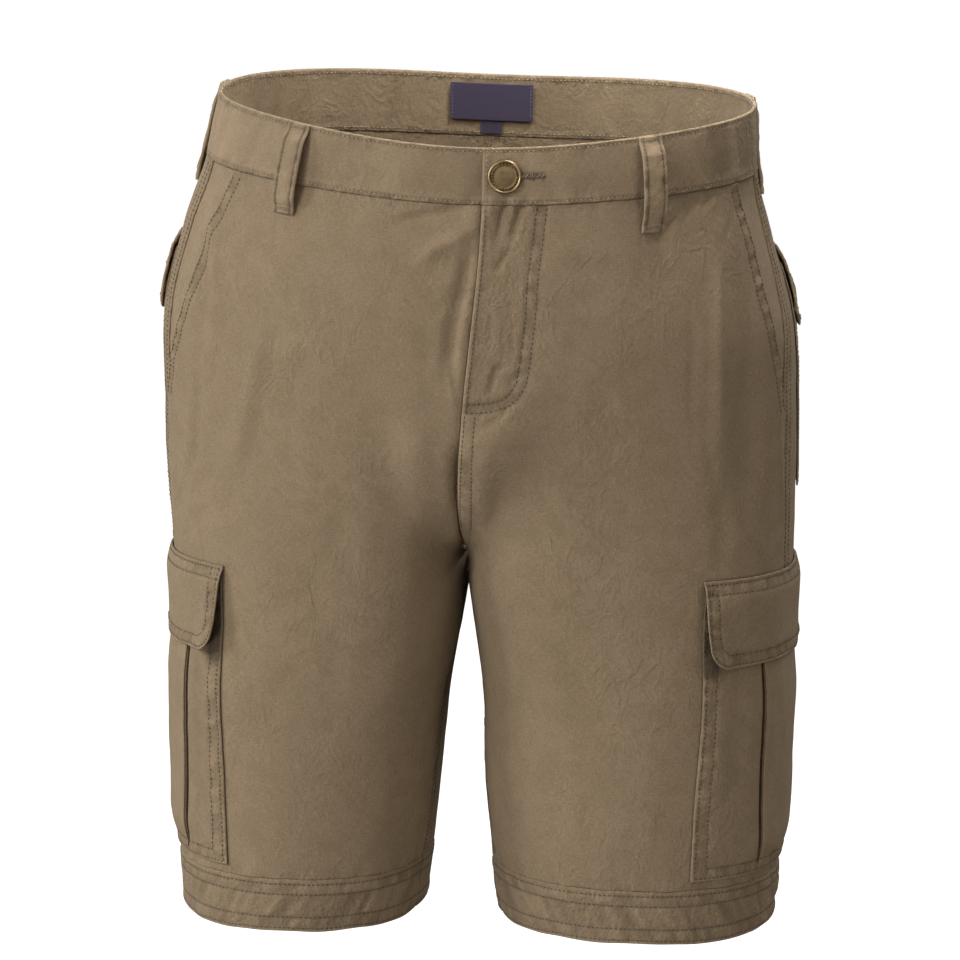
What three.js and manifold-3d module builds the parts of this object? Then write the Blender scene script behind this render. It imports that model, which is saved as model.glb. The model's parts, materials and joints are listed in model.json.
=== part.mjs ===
// Cargo shorts, filled out with no wearer.  Units are mm, +Z up, +X the wearer's left, the front faces -Y.
// The origin is the centre of the waist opening at mid height of the waistband.
import * as THREE from 'three';
import Module from 'manifold-3d';

const wasm = await Module();
wasm.setup();

// ------------------------------------------------------------------ driving sizes
const GAP = 0.3;            // clearance between neighbouring pieces
const CLOTH = 1.2;          // one panel of twill with its turnings
const Z_TOP = 22;           // top edge of the waistband at the side
const Z_BAND = -18.5;       // seam under the waistband at the side
const Z_CROTCH = -262;
const Z_HEM = -492;
const Z_HEMBAND = -458;     // upper row of the turned-up hem
const DIP_TOP = 22;         // how far the top edge dips at the centre front
const DIP_BAND = 15.5;      // the same for the seam under the waistband
const DIP_FADE = -200;      // level where the dip has gone
const DIP_POWER = 1.2;
const BACK_RISE = 7;
const BACK_SAG = 4;
const TILT = 0.012;         // the wearer's left side hangs a little lower
const RISE_FRONT = 85;      // height over which the front closes in to the crotch
const RISE_BACK = 120;
const BLEND_U = 0.16, BLEND_UP = 50, BLEND_DOWN = 70;

const BAND = { out: 0.6, thick: 2.5 };
const UNDERLAP = { out: -2.2, length: 38 };
const HEM = { out: 0.7, thick: 2.0 };
const LOOP = { width: 14.5, thick: 2.0, standOff: 3.4, sideStandOff: 2.4 };
const BUTTON = { fromFront: 13.2, level: 1.7, radius: 10.2, shank: 3.2, hole: 4.3, slitEnd: 37, slitWidth: 1.4 };
const POCKET = { front: -74.5, lean: -8.5, back: 77, top: -272, bottom: -452, swell: 2.2, pleatLeft: 30, pleatRight: 44, pleatRise: 1.5, slit: 1.8 };
const FLAP = { front: -75.5, back: 78.5, top: -263, bottom: -317, corner: 14, curl: 2.4 };
const BACK_POCKET = { front: 43, back: 181, top: -80, bottom: -218, swell: 0.8 };
const BACK_FLAP = { front: 41, back: 183, top: -69, bottom: -119, corner: 12, curl: 0 };
const FLY = { shieldFrom: -12, shieldTo: 40, bottom: -158, zipFrom: 2, zipTo: 26, zipBottom: -150 };
const FACING = { under: 22, bottom: -172, behind: 0.7 };   // it hangs a little behind the front panel
const LABEL = { width: 54, top: 5.5, bottom: 29.5, thick: 0.8 };
const TAB = { width: 13.5, top: 26.5, bottom: 38.5, thick: 0.8 };

// ------------------------------------------------------------------ section tables
// seat and hips: half widths to the wearer's right and left, depths to the front and back, squareness
const TRUNK = [
  { z: 30, right: 165, left: 164, front: 110, back: 122, square: 2.15 },
  { z: 20, right: 167, left: 166, front: 111, back: 123, square: 2.15 },
  { z: -20, right: 174.5, left: 168, front: 115, back: 128, square: 2.15 },
  { z: -60, right: 187, left: 179, front: 119, back: 136, square: 2.2 },
  { z: -110, right: 198, left: 194, front: 121, back: 141, square: 2.3 },
  { z: -160, right: 197, left: 199, front: 120, back: 140, square: 2.35 },
  { z: -210, right: 194, left: 202, front: 117, back: 134, square: 2.4 },
  { z: -262, right: 188.5, left: 203.5, front: 114, back: 126, square: 2.4 },
  { z: -310, right: 184, left: 203.5, front: 110, back: 118, square: 2.4 },
];
// legs: distance of the inner and the outer side from the middle, depths, centre and turn of the inseam to the front
const LEG = [
  { z: -140, inR: 0, inL: 0, outR: 196, outL: 198, front: 112, back: 118, mid: 4, square: 2.2, squareIn: 3.4, turn: 0 },
  { z: -262, inR: 0, inL: 0, outR: 187, outL: 203.5, front: 110, back: 114, mid: 4, square: 2.2, squareIn: 3.4, turn: 0 },
  { z: -300, inR: 3, inL: 5, outR: 183.5, outL: 202, front: 107, back: 111, mid: 3, square: 2.2, squareIn: 3, turn: 6 },
  { z: -350, inR: 10, inL: 12, outR: 182.5, outL: 203, front: 104, back: 107, mid: 2, square: 2.2, squareIn: 2.6, turn: 12 },
  { z: -400, inR: 14, inL: 14, outR: 181, outL: 203, front: 101, back: 104, mid: 1, square: 2.15, squareIn: 2.35, turn: 16 },
  { z: -450, inR: 18, inL: 20, outR: 179.5, outL: 202.5, front: 98, back: 101, mid: 0, square: 2.15, squareIn: 2.2, turn: 20 },
  { z: -492, inR: 22.5, inL: 25.5, outR: 176.5, outL: 200.5, front: 96, back: 98, mid: 0, square: 2.1, squareIn: 2.1, turn: 22 },
  { z: -502, inR: 23.5, inL: 27, outR: 175.5, outL: 199.5, front: 95, back: 97, mid: 0, square: 2.1, squareIn: 2.1, turn: 22 },
];
const LEG_DEPTH = { right: 1.03, left: 0.97 };
// sideways drift of the middle, and turn of the waist on the hips in degrees
const MIDDLE = [{ z: 30, x: 0 }, { z: -20, x: 0 }, { z: -160, x: -3 }, { z: -262, x: -6 }, { z: -400, x: -8 }, { z: -500, x: -9 }];
const TWIST = [{ z: 30, deg: 4.2 }, { z: -20, deg: 4.2 }, { z: -60, deg: 3.6 }, { z: -110, deg: 2.2 }, { z: -160, deg: 0.9 }, { z: -210, deg: 0.2 }, { z: -262, deg: 0 }, { z: -500, deg: 0 }];
// side seam, as a share of the way round one half from the inner front to the inner back
const SIDE_SEAM = [{ z: 30, u: 0.455 }, { z: -20, u: 0.455 }, { z: -60, u: 0.452 }, { z: -99, u: 0.446 }, { z: -127, u: 0.44 }, { z: -165, u: 0.437 }, { z: -262, u: 0.442 }, { z: -400, u: 0.452 }, { z: -500, u: 0.46 }];
// slanted edge of the front pocket, measured forward from the side seam
const MOUTH = [{ z: -10, s: -35 }, { z: -19, s: -34 }, { z: -58, s: -28.5 }, { z: -95, s: -24.5 }, { z: -121, s: -16.5 }, { z: -140, s: -8.5 }, { z: -163, s: -2 }, { z: -168, s: 0 }];
// front belt loops, measured from the centre front along the waist
const FRONT_LOOPS = [
  { name: 'belt_loop_front_right', side: -1, topAt: 115.7, bottomAt: 124.6, bottom: -37 },
  { name: 'belt_loop_front_left', side: 1, topAt: 101.2, bottomAt: 105, bottom: -39.5 },
];

// ------------------------------------------------------------------ curves through the tables
function tableAt(table, key, z) {
  const t = [...table].sort((a, b) => a.z - b.z);
  const n = t.length;
  const x = t.map(r => r.z), y = t.map(r => r[key]);
  z = Math.min(Math.max(z, x[0]), x[n - 1]);
  let i = 0;
  while (i < n - 2 && z >= x[i + 1]) i++;
  const slope = k => (y[k + 1] - y[k]) / (x[k + 1] - x[k]);
  const tangent = k => k === 0 ? slope(0) : k === n - 1 ? slope(n - 2)
    : (slope(k - 1) * (x[k + 1] - x[k]) + slope(k) * (x[k] - x[k - 1])) / (x[k + 1] - x[k - 1]);
  const h = x[i + 1] - x[i], s = (z - x[i]) / h;
  return (2 * s ** 3 - 3 * s ** 2 + 1) * y[i] + (s ** 3 - 2 * s ** 2 + s) * h * tangent(i)
    + (-2 * s ** 3 + 3 * s ** 2) * y[i + 1] + (s ** 3 - s ** 2) * h * tangent(i + 1);
}
// shares of the way across a front panel: closer together towards the pocket mouth
const FRONT_COLUMNS = [0, 0.07, 0.15, 0.24, 0.34, 0.44, 0.54, 0.64, 0.74, 0.83, 0.9, 0.95, 1];
const clamp01 = t => Math.min(1, Math.max(0, t));
const smooth = t => { t = clamp01(t); return t * t * (3 - 2 * t); };
const mix = (a, b, t) => a + (b - a) * t;

// ------------------------------------------------------------------ the cloth surface
// side +1 is the wearer's left half, -1 the right.  u runs from the centre front (or front of the inseam)
// round the outside to the centre back (or back of the inseam).  z is the level before the waist dips.
function cloth(side, u, z) {
  const level = {};
  for (const k of ['right', 'left', 'front', 'back', 'square']) level[k] = tableAt(TRUNK, k, z);
  const th = (u - 0.5) * Math.PI + side * THREE.MathUtils.degToRad(tableAt(TWIST, 'deg', z));
  let c = Math.cos(th), s = Math.sin(th);
  const half = side * c > 0 ? level.left : level.right;
  const depth = s < 0 ? level.front : level.back;
  let r = ((Math.abs(c) / half) ** level.square + (Math.abs(s) / depth) ** level.square) ** (-1 / level.square);
  const tx = r * c, ty = r * s;

  const inner = z < Z_CROTCH ? Math.max(0, tableAt(LEG, side > 0 ? 'inL' : 'inR', z)) : 0;
  const outer = tableAt(LEG, side > 0 ? 'outL' : 'outR', z);
  const mid = (inner + outer) / 2, halfLeg = (outer - inner) / 2;
  const fat = side > 0 ? LEG_DEPTH.left : LEG_DEPTH.right;
  const turn = THREE.MathUtils.degToRad(tableAt(LEG, 'turn', z));
  const near = Math.min(u, 1 - u);
  const ps = Math.PI + 2 * Math.PI * u + turn * (1 - smooth(near * 4));
  c = Math.cos(ps); s = Math.sin(ps);
  const legDepth = (s < 0 ? tableAt(LEG, 'front', z) : tableAt(LEG, 'back', z)) * fat;
  const sq = tableAt(LEG, c < 0 ? 'squareIn' : 'square', z);
  r = ((Math.abs(c) / halfLeg) ** sq + (Math.abs(s) / legDepth) ** sq) ** (-1 / sq);
  const lx = mid + r * c, ly = tableAt(LEG, 'mid', z) + r * s;

  const g = smooth(near / BLEND_U), wb = smooth(u);
  const reach = mix(RISE_FRONT, RISE_BACK, wb) + (BLEND_UP + BLEND_DOWN) * g;
  const t = clamp01((z - (Z_CROTCH - BLEND_DOWN * g)) / reach);
  const m = 1 - (t * (2 - t)) ** (0.5 + 1.5 * g);
  const x = mix(tx, lx, m), y = mix(ty, ly, m);

  const fade = smooth((z - DIP_FADE) / (Z_BAND - DIP_FADE));
  const dip = mix(DIP_BAND, DIP_TOP, clamp01((z - Z_BAND) / (Z_TOP - Z_BAND)));
  const fr = clamp01(-Math.sin(th)), bk = clamp01(Math.sin(th));
  const dz = fade * (-dip * fr ** DIP_POWER + BACK_RISE * bk * (2 - bk) - BACK_SAG * bk ** 3 - TILT * side * x);
  return new THREE.Vector3(side * (x + GAP / 2) + tableAt(MIDDLE, 'x', z), y, z + dz);
}
function normalAt(side, u, z) {
  const du = 2e-3, dz = 0.6;
  const a = cloth(side, u + du, z).sub(cloth(side, u - du, z));
  const b = cloth(side, u, z + dz).sub(cloth(side, u, z - dz));
  return a.cross(b).multiplyScalar(side).normalize();
}
const off = (side, u, z, d) => cloth(side, u, z).addScaledVector(normalAt(side, u, z), d);

// distances round one half at a level, zero at the side seam and positive to the back
const arcs = new Map();
function arcTable(side, z) {
  const key = side + ':' + z.toFixed(3);
  if (!arcs.has(key)) {
    const n = 160, d = [0];
    let p = cloth(side, 0, z);
    for (let i = 1; i <= n; i++) {
      const q = cloth(side, i / n, z);
      d.push(d[i - 1] + q.distanceTo(p));
      p = q;
    }
    const at = tableAt(SIDE_SEAM, 'u', z) * n, i = Math.floor(at);
    const zero = mix(d[i], d[i + 1], at - i);
    arcs.set(key, d.map(v => v - zero));
  }
  return arcs.get(key);
}
function uAt(side, s, z) {
  const d = arcTable(side, z), n = d.length - 1;
  let i = 0;
  while (i < n - 1 && d[i + 1] < s) i++;
  return (i + (s - d[i]) / (d[i + 1] - d[i])) / n;
}
const frontEdge = (side, z) => arcTable(side, z)[0];
const backEdge = (side, z) => arcTable(side, z)[160];

// ------------------------------------------------------------------ solids
const group = new THREE.Group();
group.name = 'cargo_shorts';
const PAINT = {
  twill: { color: 0x8b7a60, roughness: 0.92, metalness: 0 },
  twill_inside: { color: 0x83735a, roughness: 0.94, metalness: 0 },
  label: { color: 0x332d42, roughness: 0.85, metalness: 0 },
  brass: { color: 0x8a6f4c, roughness: 0.42, metalness: 1 },
  tape: { color: 0x6f6350, roughness: 0.9, metalness: 0 },
};
function add(name, geometry, slot) {
  geometry.computeVertexNormals();
  const mesh = new THREE.Mesh(geometry, new THREE.MeshStandardMaterial({ name: slot, ...PAINT[slot] }));
  mesh.name = name;
  group.add(mesh);
  return mesh;
}
function solidFrom(points, index) {
  let volume = 0;
  for (let i = 0; i < index.length; i += 3) {
    const [a, b, c] = [points[index[i]], points[index[i + 1]], points[index[i + 2]]];
    volume += a.dot(b.clone().cross(c)) / 6;
  }
  if (volume < 0) for (let i = 0; i < index.length; i += 3) [index[i + 1], index[i + 2]] = [index[i + 2], index[i + 1]];
  const g = new THREE.BufferGeometry();
  g.setAttribute('position', new THREE.Float32BufferAttribute(points.flatMap(p => [p.x, p.y, p.z]), 3));
  g.setIndex(index);
  return g;
}
// a wall over a grid: place(i, j) gives its outer and inner point; ring closes it on itself in i
function wall(ni, nj, place, ring = false) {
  const outer = [], inner = [], cols = ring ? ni : ni + 1;
  for (let j = 0; j <= nj; j++) for (let i = 0; i < cols; i++) {
    const [a, b] = place(i / ni, j / nj, i, j);
    outer.push(a);
    inner.push(b);
  }
  const n = outer.length, at = (i, j) => j * cols + (i % cols);
  const index = [];
  const quad = (a, b, c, d) => index.push(a, b, c, a, c, d);
  for (let j = 0; j < nj; j++) for (let i = 0; i < ni; i++) {
    quad(at(i, j), at(i + 1, j), at(i + 1, j + 1), at(i, j + 1));
    quad(n + at(i, j), n + at(i, j + 1), n + at(i + 1, j + 1), n + at(i + 1, j));
  }
  for (let i = 0; i < ni; i++) {
    quad(at(i + 1, 0), at(i, 0), n + at(i, 0), n + at(i + 1, 0));
    quad(at(i, nj), at(i + 1, nj), n + at(i + 1, nj), n + at(i, nj));
  }
  if (!ring) for (let j = 0; j < nj; j++) {
    quad(at(0, j), at(0, j + 1), n + at(0, j + 1), n + at(0, j));
    quad(at(ni, j + 1), at(ni, j), n + at(ni, j), n + at(ni, j + 1));
  }
  return solidFrom([...outer, ...inner], index);
}
// levels for a panel: close together just above the crotch, where the seam turns under
function panelLevels(rise) {
  const seat = [0, 0.16, 0.32, 0.5, 0.68, 0.84, 1].map(a => Z_CROTCH + rise * (1 - Math.cos(a * Math.PI / 2)));
  const top = Z_BAND - GAP / 2, bottom = Z_HEMBAND + GAP / 2;
  const above = [], below = [];
  const stepsUp = rise < 100 ? 6 : 5;
  for (let i = 1; i <= stepsUp; i++) above.push(mix(Z_CROTCH + rise, top, i / stepsUp));
  for (let i = 6; i > 0; i--) below.push(mix(Z_CROTCH, bottom, i / 6));
  return [...below, ...seat, ...above];
}

// ------------------------------------------------------------------ panels, facings, hems
for (const side of [1, -1]) {
  const hand = side > 0 ? 'left' : 'right';
  const mouth = z => z > -168 ? Math.min(0, tableAt(MOUTH, 's', z)) : 0;

  const fz = panelLevels(RISE_FRONT);
  add('front_panel_' + hand, wall(12, fz.length - 1, (a, b, i, j) => {
    const z = fz[j], u = mix(uAt(side, frontEdge(side, z) + GAP / 2, z), uAt(side, mouth(z) - GAP / 2, z), FRONT_COLUMNS[i]);
    return [off(side, u, z, 0), off(side, u, z, -CLOTH)];
  }), 'twill');

  const bz = panelLevels(RISE_BACK);
  add('back_panel_' + hand, wall(13, bz.length - 1, (a, b, i, j) => {
    const z = bz[j], u = mix(uAt(side, GAP / 2, z), uAt(side, backEdge(side, z) - GAP / 2, z), a);
    return [off(side, u, z, 0), off(side, u, z, -CLOTH)];
  }), 'twill');

  add('front_pocket_facing_' + hand, wall(3, 8, (a, b) => {
    const z = mix(FACING.bottom, Z_BAND - GAP / 2, b), s = mix(mouth(z) - FACING.under, -GAP / 2, a), u = uAt(side, s, z);
    const d = -CLOTH - FACING.behind;
    return [off(side, u, z, d), off(side, u, z, d - CLOTH)];
  }), 'twill_inside');

  add('hem_band_' + hand, wall(32, 2, (a, b) => {
    const z = mix(Z_HEM, Z_HEMBAND - GAP / 2, b);
    const s = mix(frontEdge(side, z), backEdge(side, z), a), u = uAt(side, s, z);
    return [off(side, u, z, HEM.out), off(side, u, z, HEM.out - HEM.thick)];
  }, true), 'twill');
}

// ------------------------------------------------------------------ waistband
// one strip from the overlap at the centre front, round the back, to the underlap behind the overlap
const around = t => { t = ((t % 2) + 2) % 2; return t <= 1 ? [1, t] : [-1, 2 - t]; };
const onBand = (t, z, d) => { const [side, u] = around(t); return off(side, u, z, d); };
const tAt = (s, z) => s >= 0 ? uAt(1, frontEdge(1, z) + s, z) : -uAt(-1, frontEdge(-1, z) - s, z); // distance from the centre front
{
  const turns = [];
  const N = 46;
  for (let i = 0; i <= N; i++) turns.push({ at: i / N });
  const start = z => tAt(GAP / 2, z), end = z => 2 + tAt(-16, z);
  const tail = [{ s: -10, drop: 0.25 }, { s: -5, drop: 0.7 }, { s: 0, drop: 1 }, { s: 13, drop: 1 }, { s: 26, drop: 1 }, { s: UNDERLAP.length, drop: 1 }];
  const fall = BAND.out - UNDERLAP.out;
  const strip = wall(N + tail.length, 2, (a, b, i) => {
    const z = mix(Z_BAND + GAP / 2, Z_TOP, b);
    if (i <= N) {
      const t = mix(start(z), end(z), turns[i].at);
      return [onBand(t, z, BAND.out), onBand(t, z, BAND.out - BAND.thick)];
    }
    const r = tail[i - N - 1], t = 2 + tAt(r.s, z), d = BAND.out - fall * r.drop;
    return [onBand(t, z, d), onBand(t, z, d - BAND.thick)];
  });
  // buttonhole: an eye for the shank and a slit behind it
  const side = 1, z = BUTTON.level, u = uAt(side, frontEdge(side, z) + BUTTON.fromFront, z);
  const p = cloth(side, u, z), n = normalAt(side, u, z);
  const up = new THREE.Vector3(0, 0, 1).addScaledVector(n, -n.z).normalize(), along = up.clone().cross(n).normalize();
  const frame = new THREE.Matrix4().makeBasis(along, up, n).setPosition(p);
  const cutter = new THREE.Shape();
  const w = BUTTON.slitWidth / 2, R = BUTTON.hole, x0 = Math.sqrt(R * R - w * w), a0 = Math.asin(w / R);
  cutter.moveTo(x0, w);
  cutter.absarc(0, 0, R, a0, 2 * Math.PI - a0, false);
  cutter.lineTo(BUTTON.slitEnd - BUTTON.fromFront, -w);
  cutter.lineTo(BUTTON.slitEnd - BUTTON.fromFront, w);
  cutter.closePath();
  // the eye runs through the overlap only, so it stops short of the underlap
  const tool = new THREE.ExtrudeGeometry(cutter, { depth: 6, bevelEnabled: false, curveSegments: 10 });
  tool.translate(0, 0, BAND.out - BAND.thick - GAP / 2);
  tool.applyMatrix4(frame);
  const bent = cut(strip, tool);
  add('waistband', bent, 'twill');

  // button: rounded cap with a raised rim, on its shank
  const capZ = BAND.out + 0.5;
  const profile = [[0, 1.9], [5.6, 1.9], [7.2, 1.6], [8.0, 2.4], [9.2, 2.5], [9.9, 1.9], [10.2, 1.1], [9.7, 0.2], [8.4, 0], [BUTTON.shank, 0], [BUTTON.shank, -(capZ - BAND.out + BAND.thick)], [0, -(capZ - BAND.out + BAND.thick)]];
  const lathe = new THREE.LatheGeometry(profile.map(([r, h]) => new THREE.Vector2(r, h + capZ)).reverse(), 20);
  lathe.rotateX(Math.PI / 2);
  lathe.applyMatrix4(frame);
  add('waist_button', tidy(lathe), 'brass');
}

// ------------------------------------------------------------------ cutting and tidying
function toManifold(geometry) {
  const g = geometry.clone();
  for (const k of Object.keys(g.attributes)) if (k !== 'position') g.deleteAttribute(k);
  const pos = g.attributes.position, verts = [], map = new Map(), ids = [];
  for (let i = 0; i < pos.count; i++) {
    const key = [pos.getX(i), pos.getY(i), pos.getZ(i)].map(v => Math.round(v * 1e4)).join(',');
    if (!map.has(key)) {
      map.set(key, verts.length / 3);
      verts.push(pos.getX(i), pos.getY(i), pos.getZ(i));
    }
    ids.push(map.get(key));
  }
  const src = g.index ? Array.from(g.index.array) : ids.map((_, i) => i);
  const tri = [];
  for (let i = 0; i < src.length; i += 3) {
    const t = [ids[src[i]], ids[src[i + 1]], ids[src[i + 2]]];
    if (t[0] !== t[1] && t[1] !== t[2] && t[0] !== t[2]) tri.push(...t);
  }
  return { verts, tri };
}
function tidy(geometry) {
  const { verts, tri } = toManifold(geometry);
  const points = [];
  for (let i = 0; i < verts.length; i += 3) points.push(new THREE.Vector3(verts[i], verts[i + 1], verts[i + 2]));
  return solidFrom(points, tri);
}
function cut(geometry, tool) {
  const solid = g => {
    const t = tidy(g), p = t.attributes.position.array, x = t.index.array;
    return new wasm.Manifold(new wasm.Mesh({ numProp: 3, vertProperties: new Float32Array(p), triVerts: new Uint32Array(x) }));
  };
  const out = solid(geometry).subtract(solid(tool)).getMesh();
  const g = new THREE.BufferGeometry();
  g.setAttribute('position', new THREE.Float32BufferAttribute(Array.from(out.vertProperties), out.numProp));
  g.setIndex(Array.from(out.triVerts));
  return g;
}

// ------------------------------------------------------------------ belt loops
function loop(name, side, topAt, bottomAt, bottom, stand = LOOP.standOff) {
  const top = Z_TOP - 0.6, rest = BAND.out + GAP, half = LOOP.width / 2;
  const rows = [
    { f: 0, d: rest }, { f: 0.07, d: rest + 0.5 }, { f: 0.2, d: rest + stand * 0.85 }, { f: 0.42, d: rest + stand },
    { f: 0.66, d: rest + stand * 0.95 }, { f: 0.84, d: rest + stand * 0.7 }, { f: 0.94, d: 1.0 }, { f: 1, d: GAP },
  ];
  add(name, wall(2, rows.length - 1, (a, b, i, j) => {
    const r = rows[rows.length - 1 - j], z = mix(top, bottom, r.f);
    const s = mix(topAt, bottomAt, r.f) + mix(-half, half, a), u = uAt(side, frontEdge(side, z) + s, z);
    return [off(side, u, z, r.d + LOOP.thick), off(side, u, z, r.d)];
  }), 'twill');
}
for (const l of FRONT_LOOPS) loop(l.name, l.side, l.topAt, l.bottomAt, l.bottom);
for (const side of [1, -1]) {
  const at = -frontEdge(side, 0) + 50;
  loop('belt_loop_side_' + (side > 0 ? 'left' : 'right'), side, at, at + 3, -38, LOOP.sideStandOff);
}
{
  // the centre back loop lies across the seam of the two halves
  const top = Z_TOP - 0.6, rest = BAND.out + GAP, half = LOOP.width / 2;
  const rows = [{ f: 0, d: rest }, { f: 0.07, d: rest + 0.5 }, { f: 0.2, d: rest + 2.9 }, { f: 0.45, d: rest + 3.4 }, { f: 0.7, d: rest + 3.1 }, { f: 0.86, d: rest + 2 }, { f: 0.94, d: 1.1 }, { f: 1, d: GAP + 0.1 }];
  add('belt_loop_back', wall(2, rows.length - 1, (a, b, i, j) => {
    const r = rows[rows.length - 1 - j], z = mix(top, -38, r.f), s = mix(-half, half, a);
    const t = s >= 0 ? 2 - uAt(-1, backEdge(-1, z) - s, z) : uAt(1, backEdge(1, z) + s, z);
    return [onBand(t, z, r.d + LOOP.thick), onBand(t, z, r.d)];
  }), 'twill');
}

// ------------------------------------------------------------------ fly
{
  const top = Z_BAND - GAP, place = (from, to, bottom, d, thick) => (a, b) => {
    const z = mix(bottom, top, b), t = tAt(mix(from, to, a), z);
    return [onBand(t, z, d), onBand(t, z, d - thick)];
  };
  add('fly_zip', wall(4, 8, place(FLY.zipFrom, FLY.zipTo, FLY.zipBottom, -CLOTH - GAP, 1.3)), 'tape');
  add('fly_shield', wall(6, 8, place(FLY.shieldFrom, FLY.shieldTo, FLY.bottom, -CLOTH - 2 * GAP - 1.3, CLOTH)), 'twill_inside');
}

// ------------------------------------------------------------------ patch pockets and flaps
// distances of the columns of a flap from its front edge, close together at the round corners
function flapColumns(width, corner, count) {
  const round = [0, 0.12, 0.34, 0.64, 1].map(f => f * corner);
  const middle = Array.from({ length: count }, (_, k) => mix(corner, width - corner, (k + 1) / (count + 1)));
  return [...round, ...middle, ...[...round].reverse().map(d => width - d)];
}
// a flap is sewn flat along its top edge and then stands over the pocket: f is the share of the way down
function flap(name, side, F, middle, rows) {
  const width = F.back - F.front, columns = flapColumns(width, F.corner, middle);
  add(name, wall(columns.length - 1, rows.length - 1, (a, b, i, j) => {
    const x = columns[i], d = Math.min(x, width - x, F.corner), lift = F.corner - Math.sqrt(F.corner ** 2 - (F.corner - d) ** 2);
    const r = rows[rows.length - 1 - j], z = mix(F.top, F.bottom + lift, r.f), s = F.front + x, u = uAt(side, s, z);
    const h = r.d + F.curl * r.f * smooth(1 - Math.min(x, width - x) / 26);
    return [off(side, u, z, h + CLOTH + 0.4), off(side, u, z, h)];
  }), 'twill');
}
const FLAP_ROWS = [{ f: 0, d: 0.3 }, { f: 0.09, d: 1.0 }, { f: 0.16, d: 3.4 }, { f: 0.45, d: 4.0 }, { f: 0.75, d: 4.5 }, { f: 1, d: 5.0 }];
const BACK_FLAP_ROWS = [{ f: 0, d: 0.45 }, { f: 0.1, d: 0.9 }, { f: 0.19, d: 3.0 }, { f: 0.55, d: 3.3 }, { f: 1, d: 3.7 }];
for (const side of [1, -1]) {
  const hand = side > 0 ? 'left' : 'right';

  // cargo pocket: a patch with a raised box pleat, standing away from the leg between its stitched edges
  const P = POCKET, edge = 10, half = side > 0 ? P.pleatLeft : P.pleatRight;
  const shape = [
    { s: P.front, d: 0 }, { s: P.front + 2.5, d: 0.5 }, { s: P.front + edge, d: 0.55 }, { s: (P.front + edge - half - 12) / 2, d: 0.75 }, { s: -half - 12, d: 0.9 }, { s: -half - 1.5, d: 1, y: -P.slit },
    { s: -half, d: 1, y: P.pleatRise }, { s: -half / 2, d: 1.05, y: P.pleatRise }, { s: 0, d: 1.1, y: P.pleatRise },
    { s: half / 2, d: 1.05, y: P.pleatRise }, { s: half, d: 1, y: P.pleatRise }, { s: half + 1.5, d: 1, y: -P.slit },
    { s: half + 12, d: 0.9 }, { s: (P.back - edge + half + 12) / 2, d: 0.75 }, { s: P.back - edge, d: 0.55 }, { s: P.back - 2.5, d: 0.5 }, { s: P.back, d: 0 },
  ];
  const levels = [0, 0.03, 0.09, 0.3, 0.52, 0.74, 0.9, 1];
  add('cargo_pocket_' + hand, wall(shape.length - 1, levels.length - 1, (a, b, i, j) => {
    const z = mix(P.bottom, P.top, levels[j]), c = shape[i];
    // the front edge leans forward towards the hem, and the columns up to the pleat with it
    const lean = P.lean * (1 - levels[j]) * clamp01((c.s + half) / (P.front + half)), u = uAt(side, c.s + lean, z);
    const full = smooth(levels[j] / 0.12) * mix(1, 0.35, smooth((levels[j] - 0.6) / 0.3));
    const d = GAP + 0.2 + P.swell * c.d * full + (c.y || 0) * full;
    return [off(side, u, z, Math.max(d, GAP) + CLOTH), off(side, u, z, Math.max(d, GAP))];
  }), 'twill');
  flap('cargo_flap_' + hand, side, FLAP, 8, FLAP_ROWS);

  const B = BACK_POCKET;
  const across = [0, 0.03, 0.13, 0.26, 0.38, 0.5, 0.62, 0.74, 0.87, 0.97, 1], upward = [0, 0.04, 0.17, 0.34, 0.51, 0.68, 0.85, 1];
  add('back_pocket_' + hand, wall(across.length - 1, upward.length - 1, (a, b, i, j) => {
    const z = mix(B.bottom, B.top, upward[j]), u = uAt(side, mix(B.front, B.back, across[i]), z);
    const d = GAP + 0.15 + B.swell * Math.min(1, 4 * across[i], 4 * (1 - across[i]), 5 * upward[j]);
    return [off(side, u, z, d + CLOTH), off(side, u, z, d)];
  }), 'twill');
  flap('back_flap_' + hand, side, BACK_FLAP, 6, BACK_FLAP_ROWS);
}

// ------------------------------------------------------------------ labels inside the back of the waistband
function label(name, L, d) {
  const half = L.width / 2;
  add(name, wall(6, 2, (a, b) => {
    const z = mix(Z_TOP - L.bottom, Z_TOP - L.top, b), s = mix(-half, half, a);
    const t = s >= 0 ? 2 - uAt(-1, backEdge(-1, z) - s, z) : uAt(1, backEdge(1, z) + s, z);
    return [onBand(t, z, d), onBand(t, z, d - L.thick)];
  }), 'label');
}
const insideBand = BAND.out - BAND.thick - 1.5 * GAP;
label('label_size', TAB, insideBand);
label('label_main', LABEL, insideBand - TAB.thick - GAP);

export default group;
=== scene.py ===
import bpy
import json
import numpy as np
from math import pi, sin, cos, radians
from mathutils import Matrix, Vector

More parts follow.
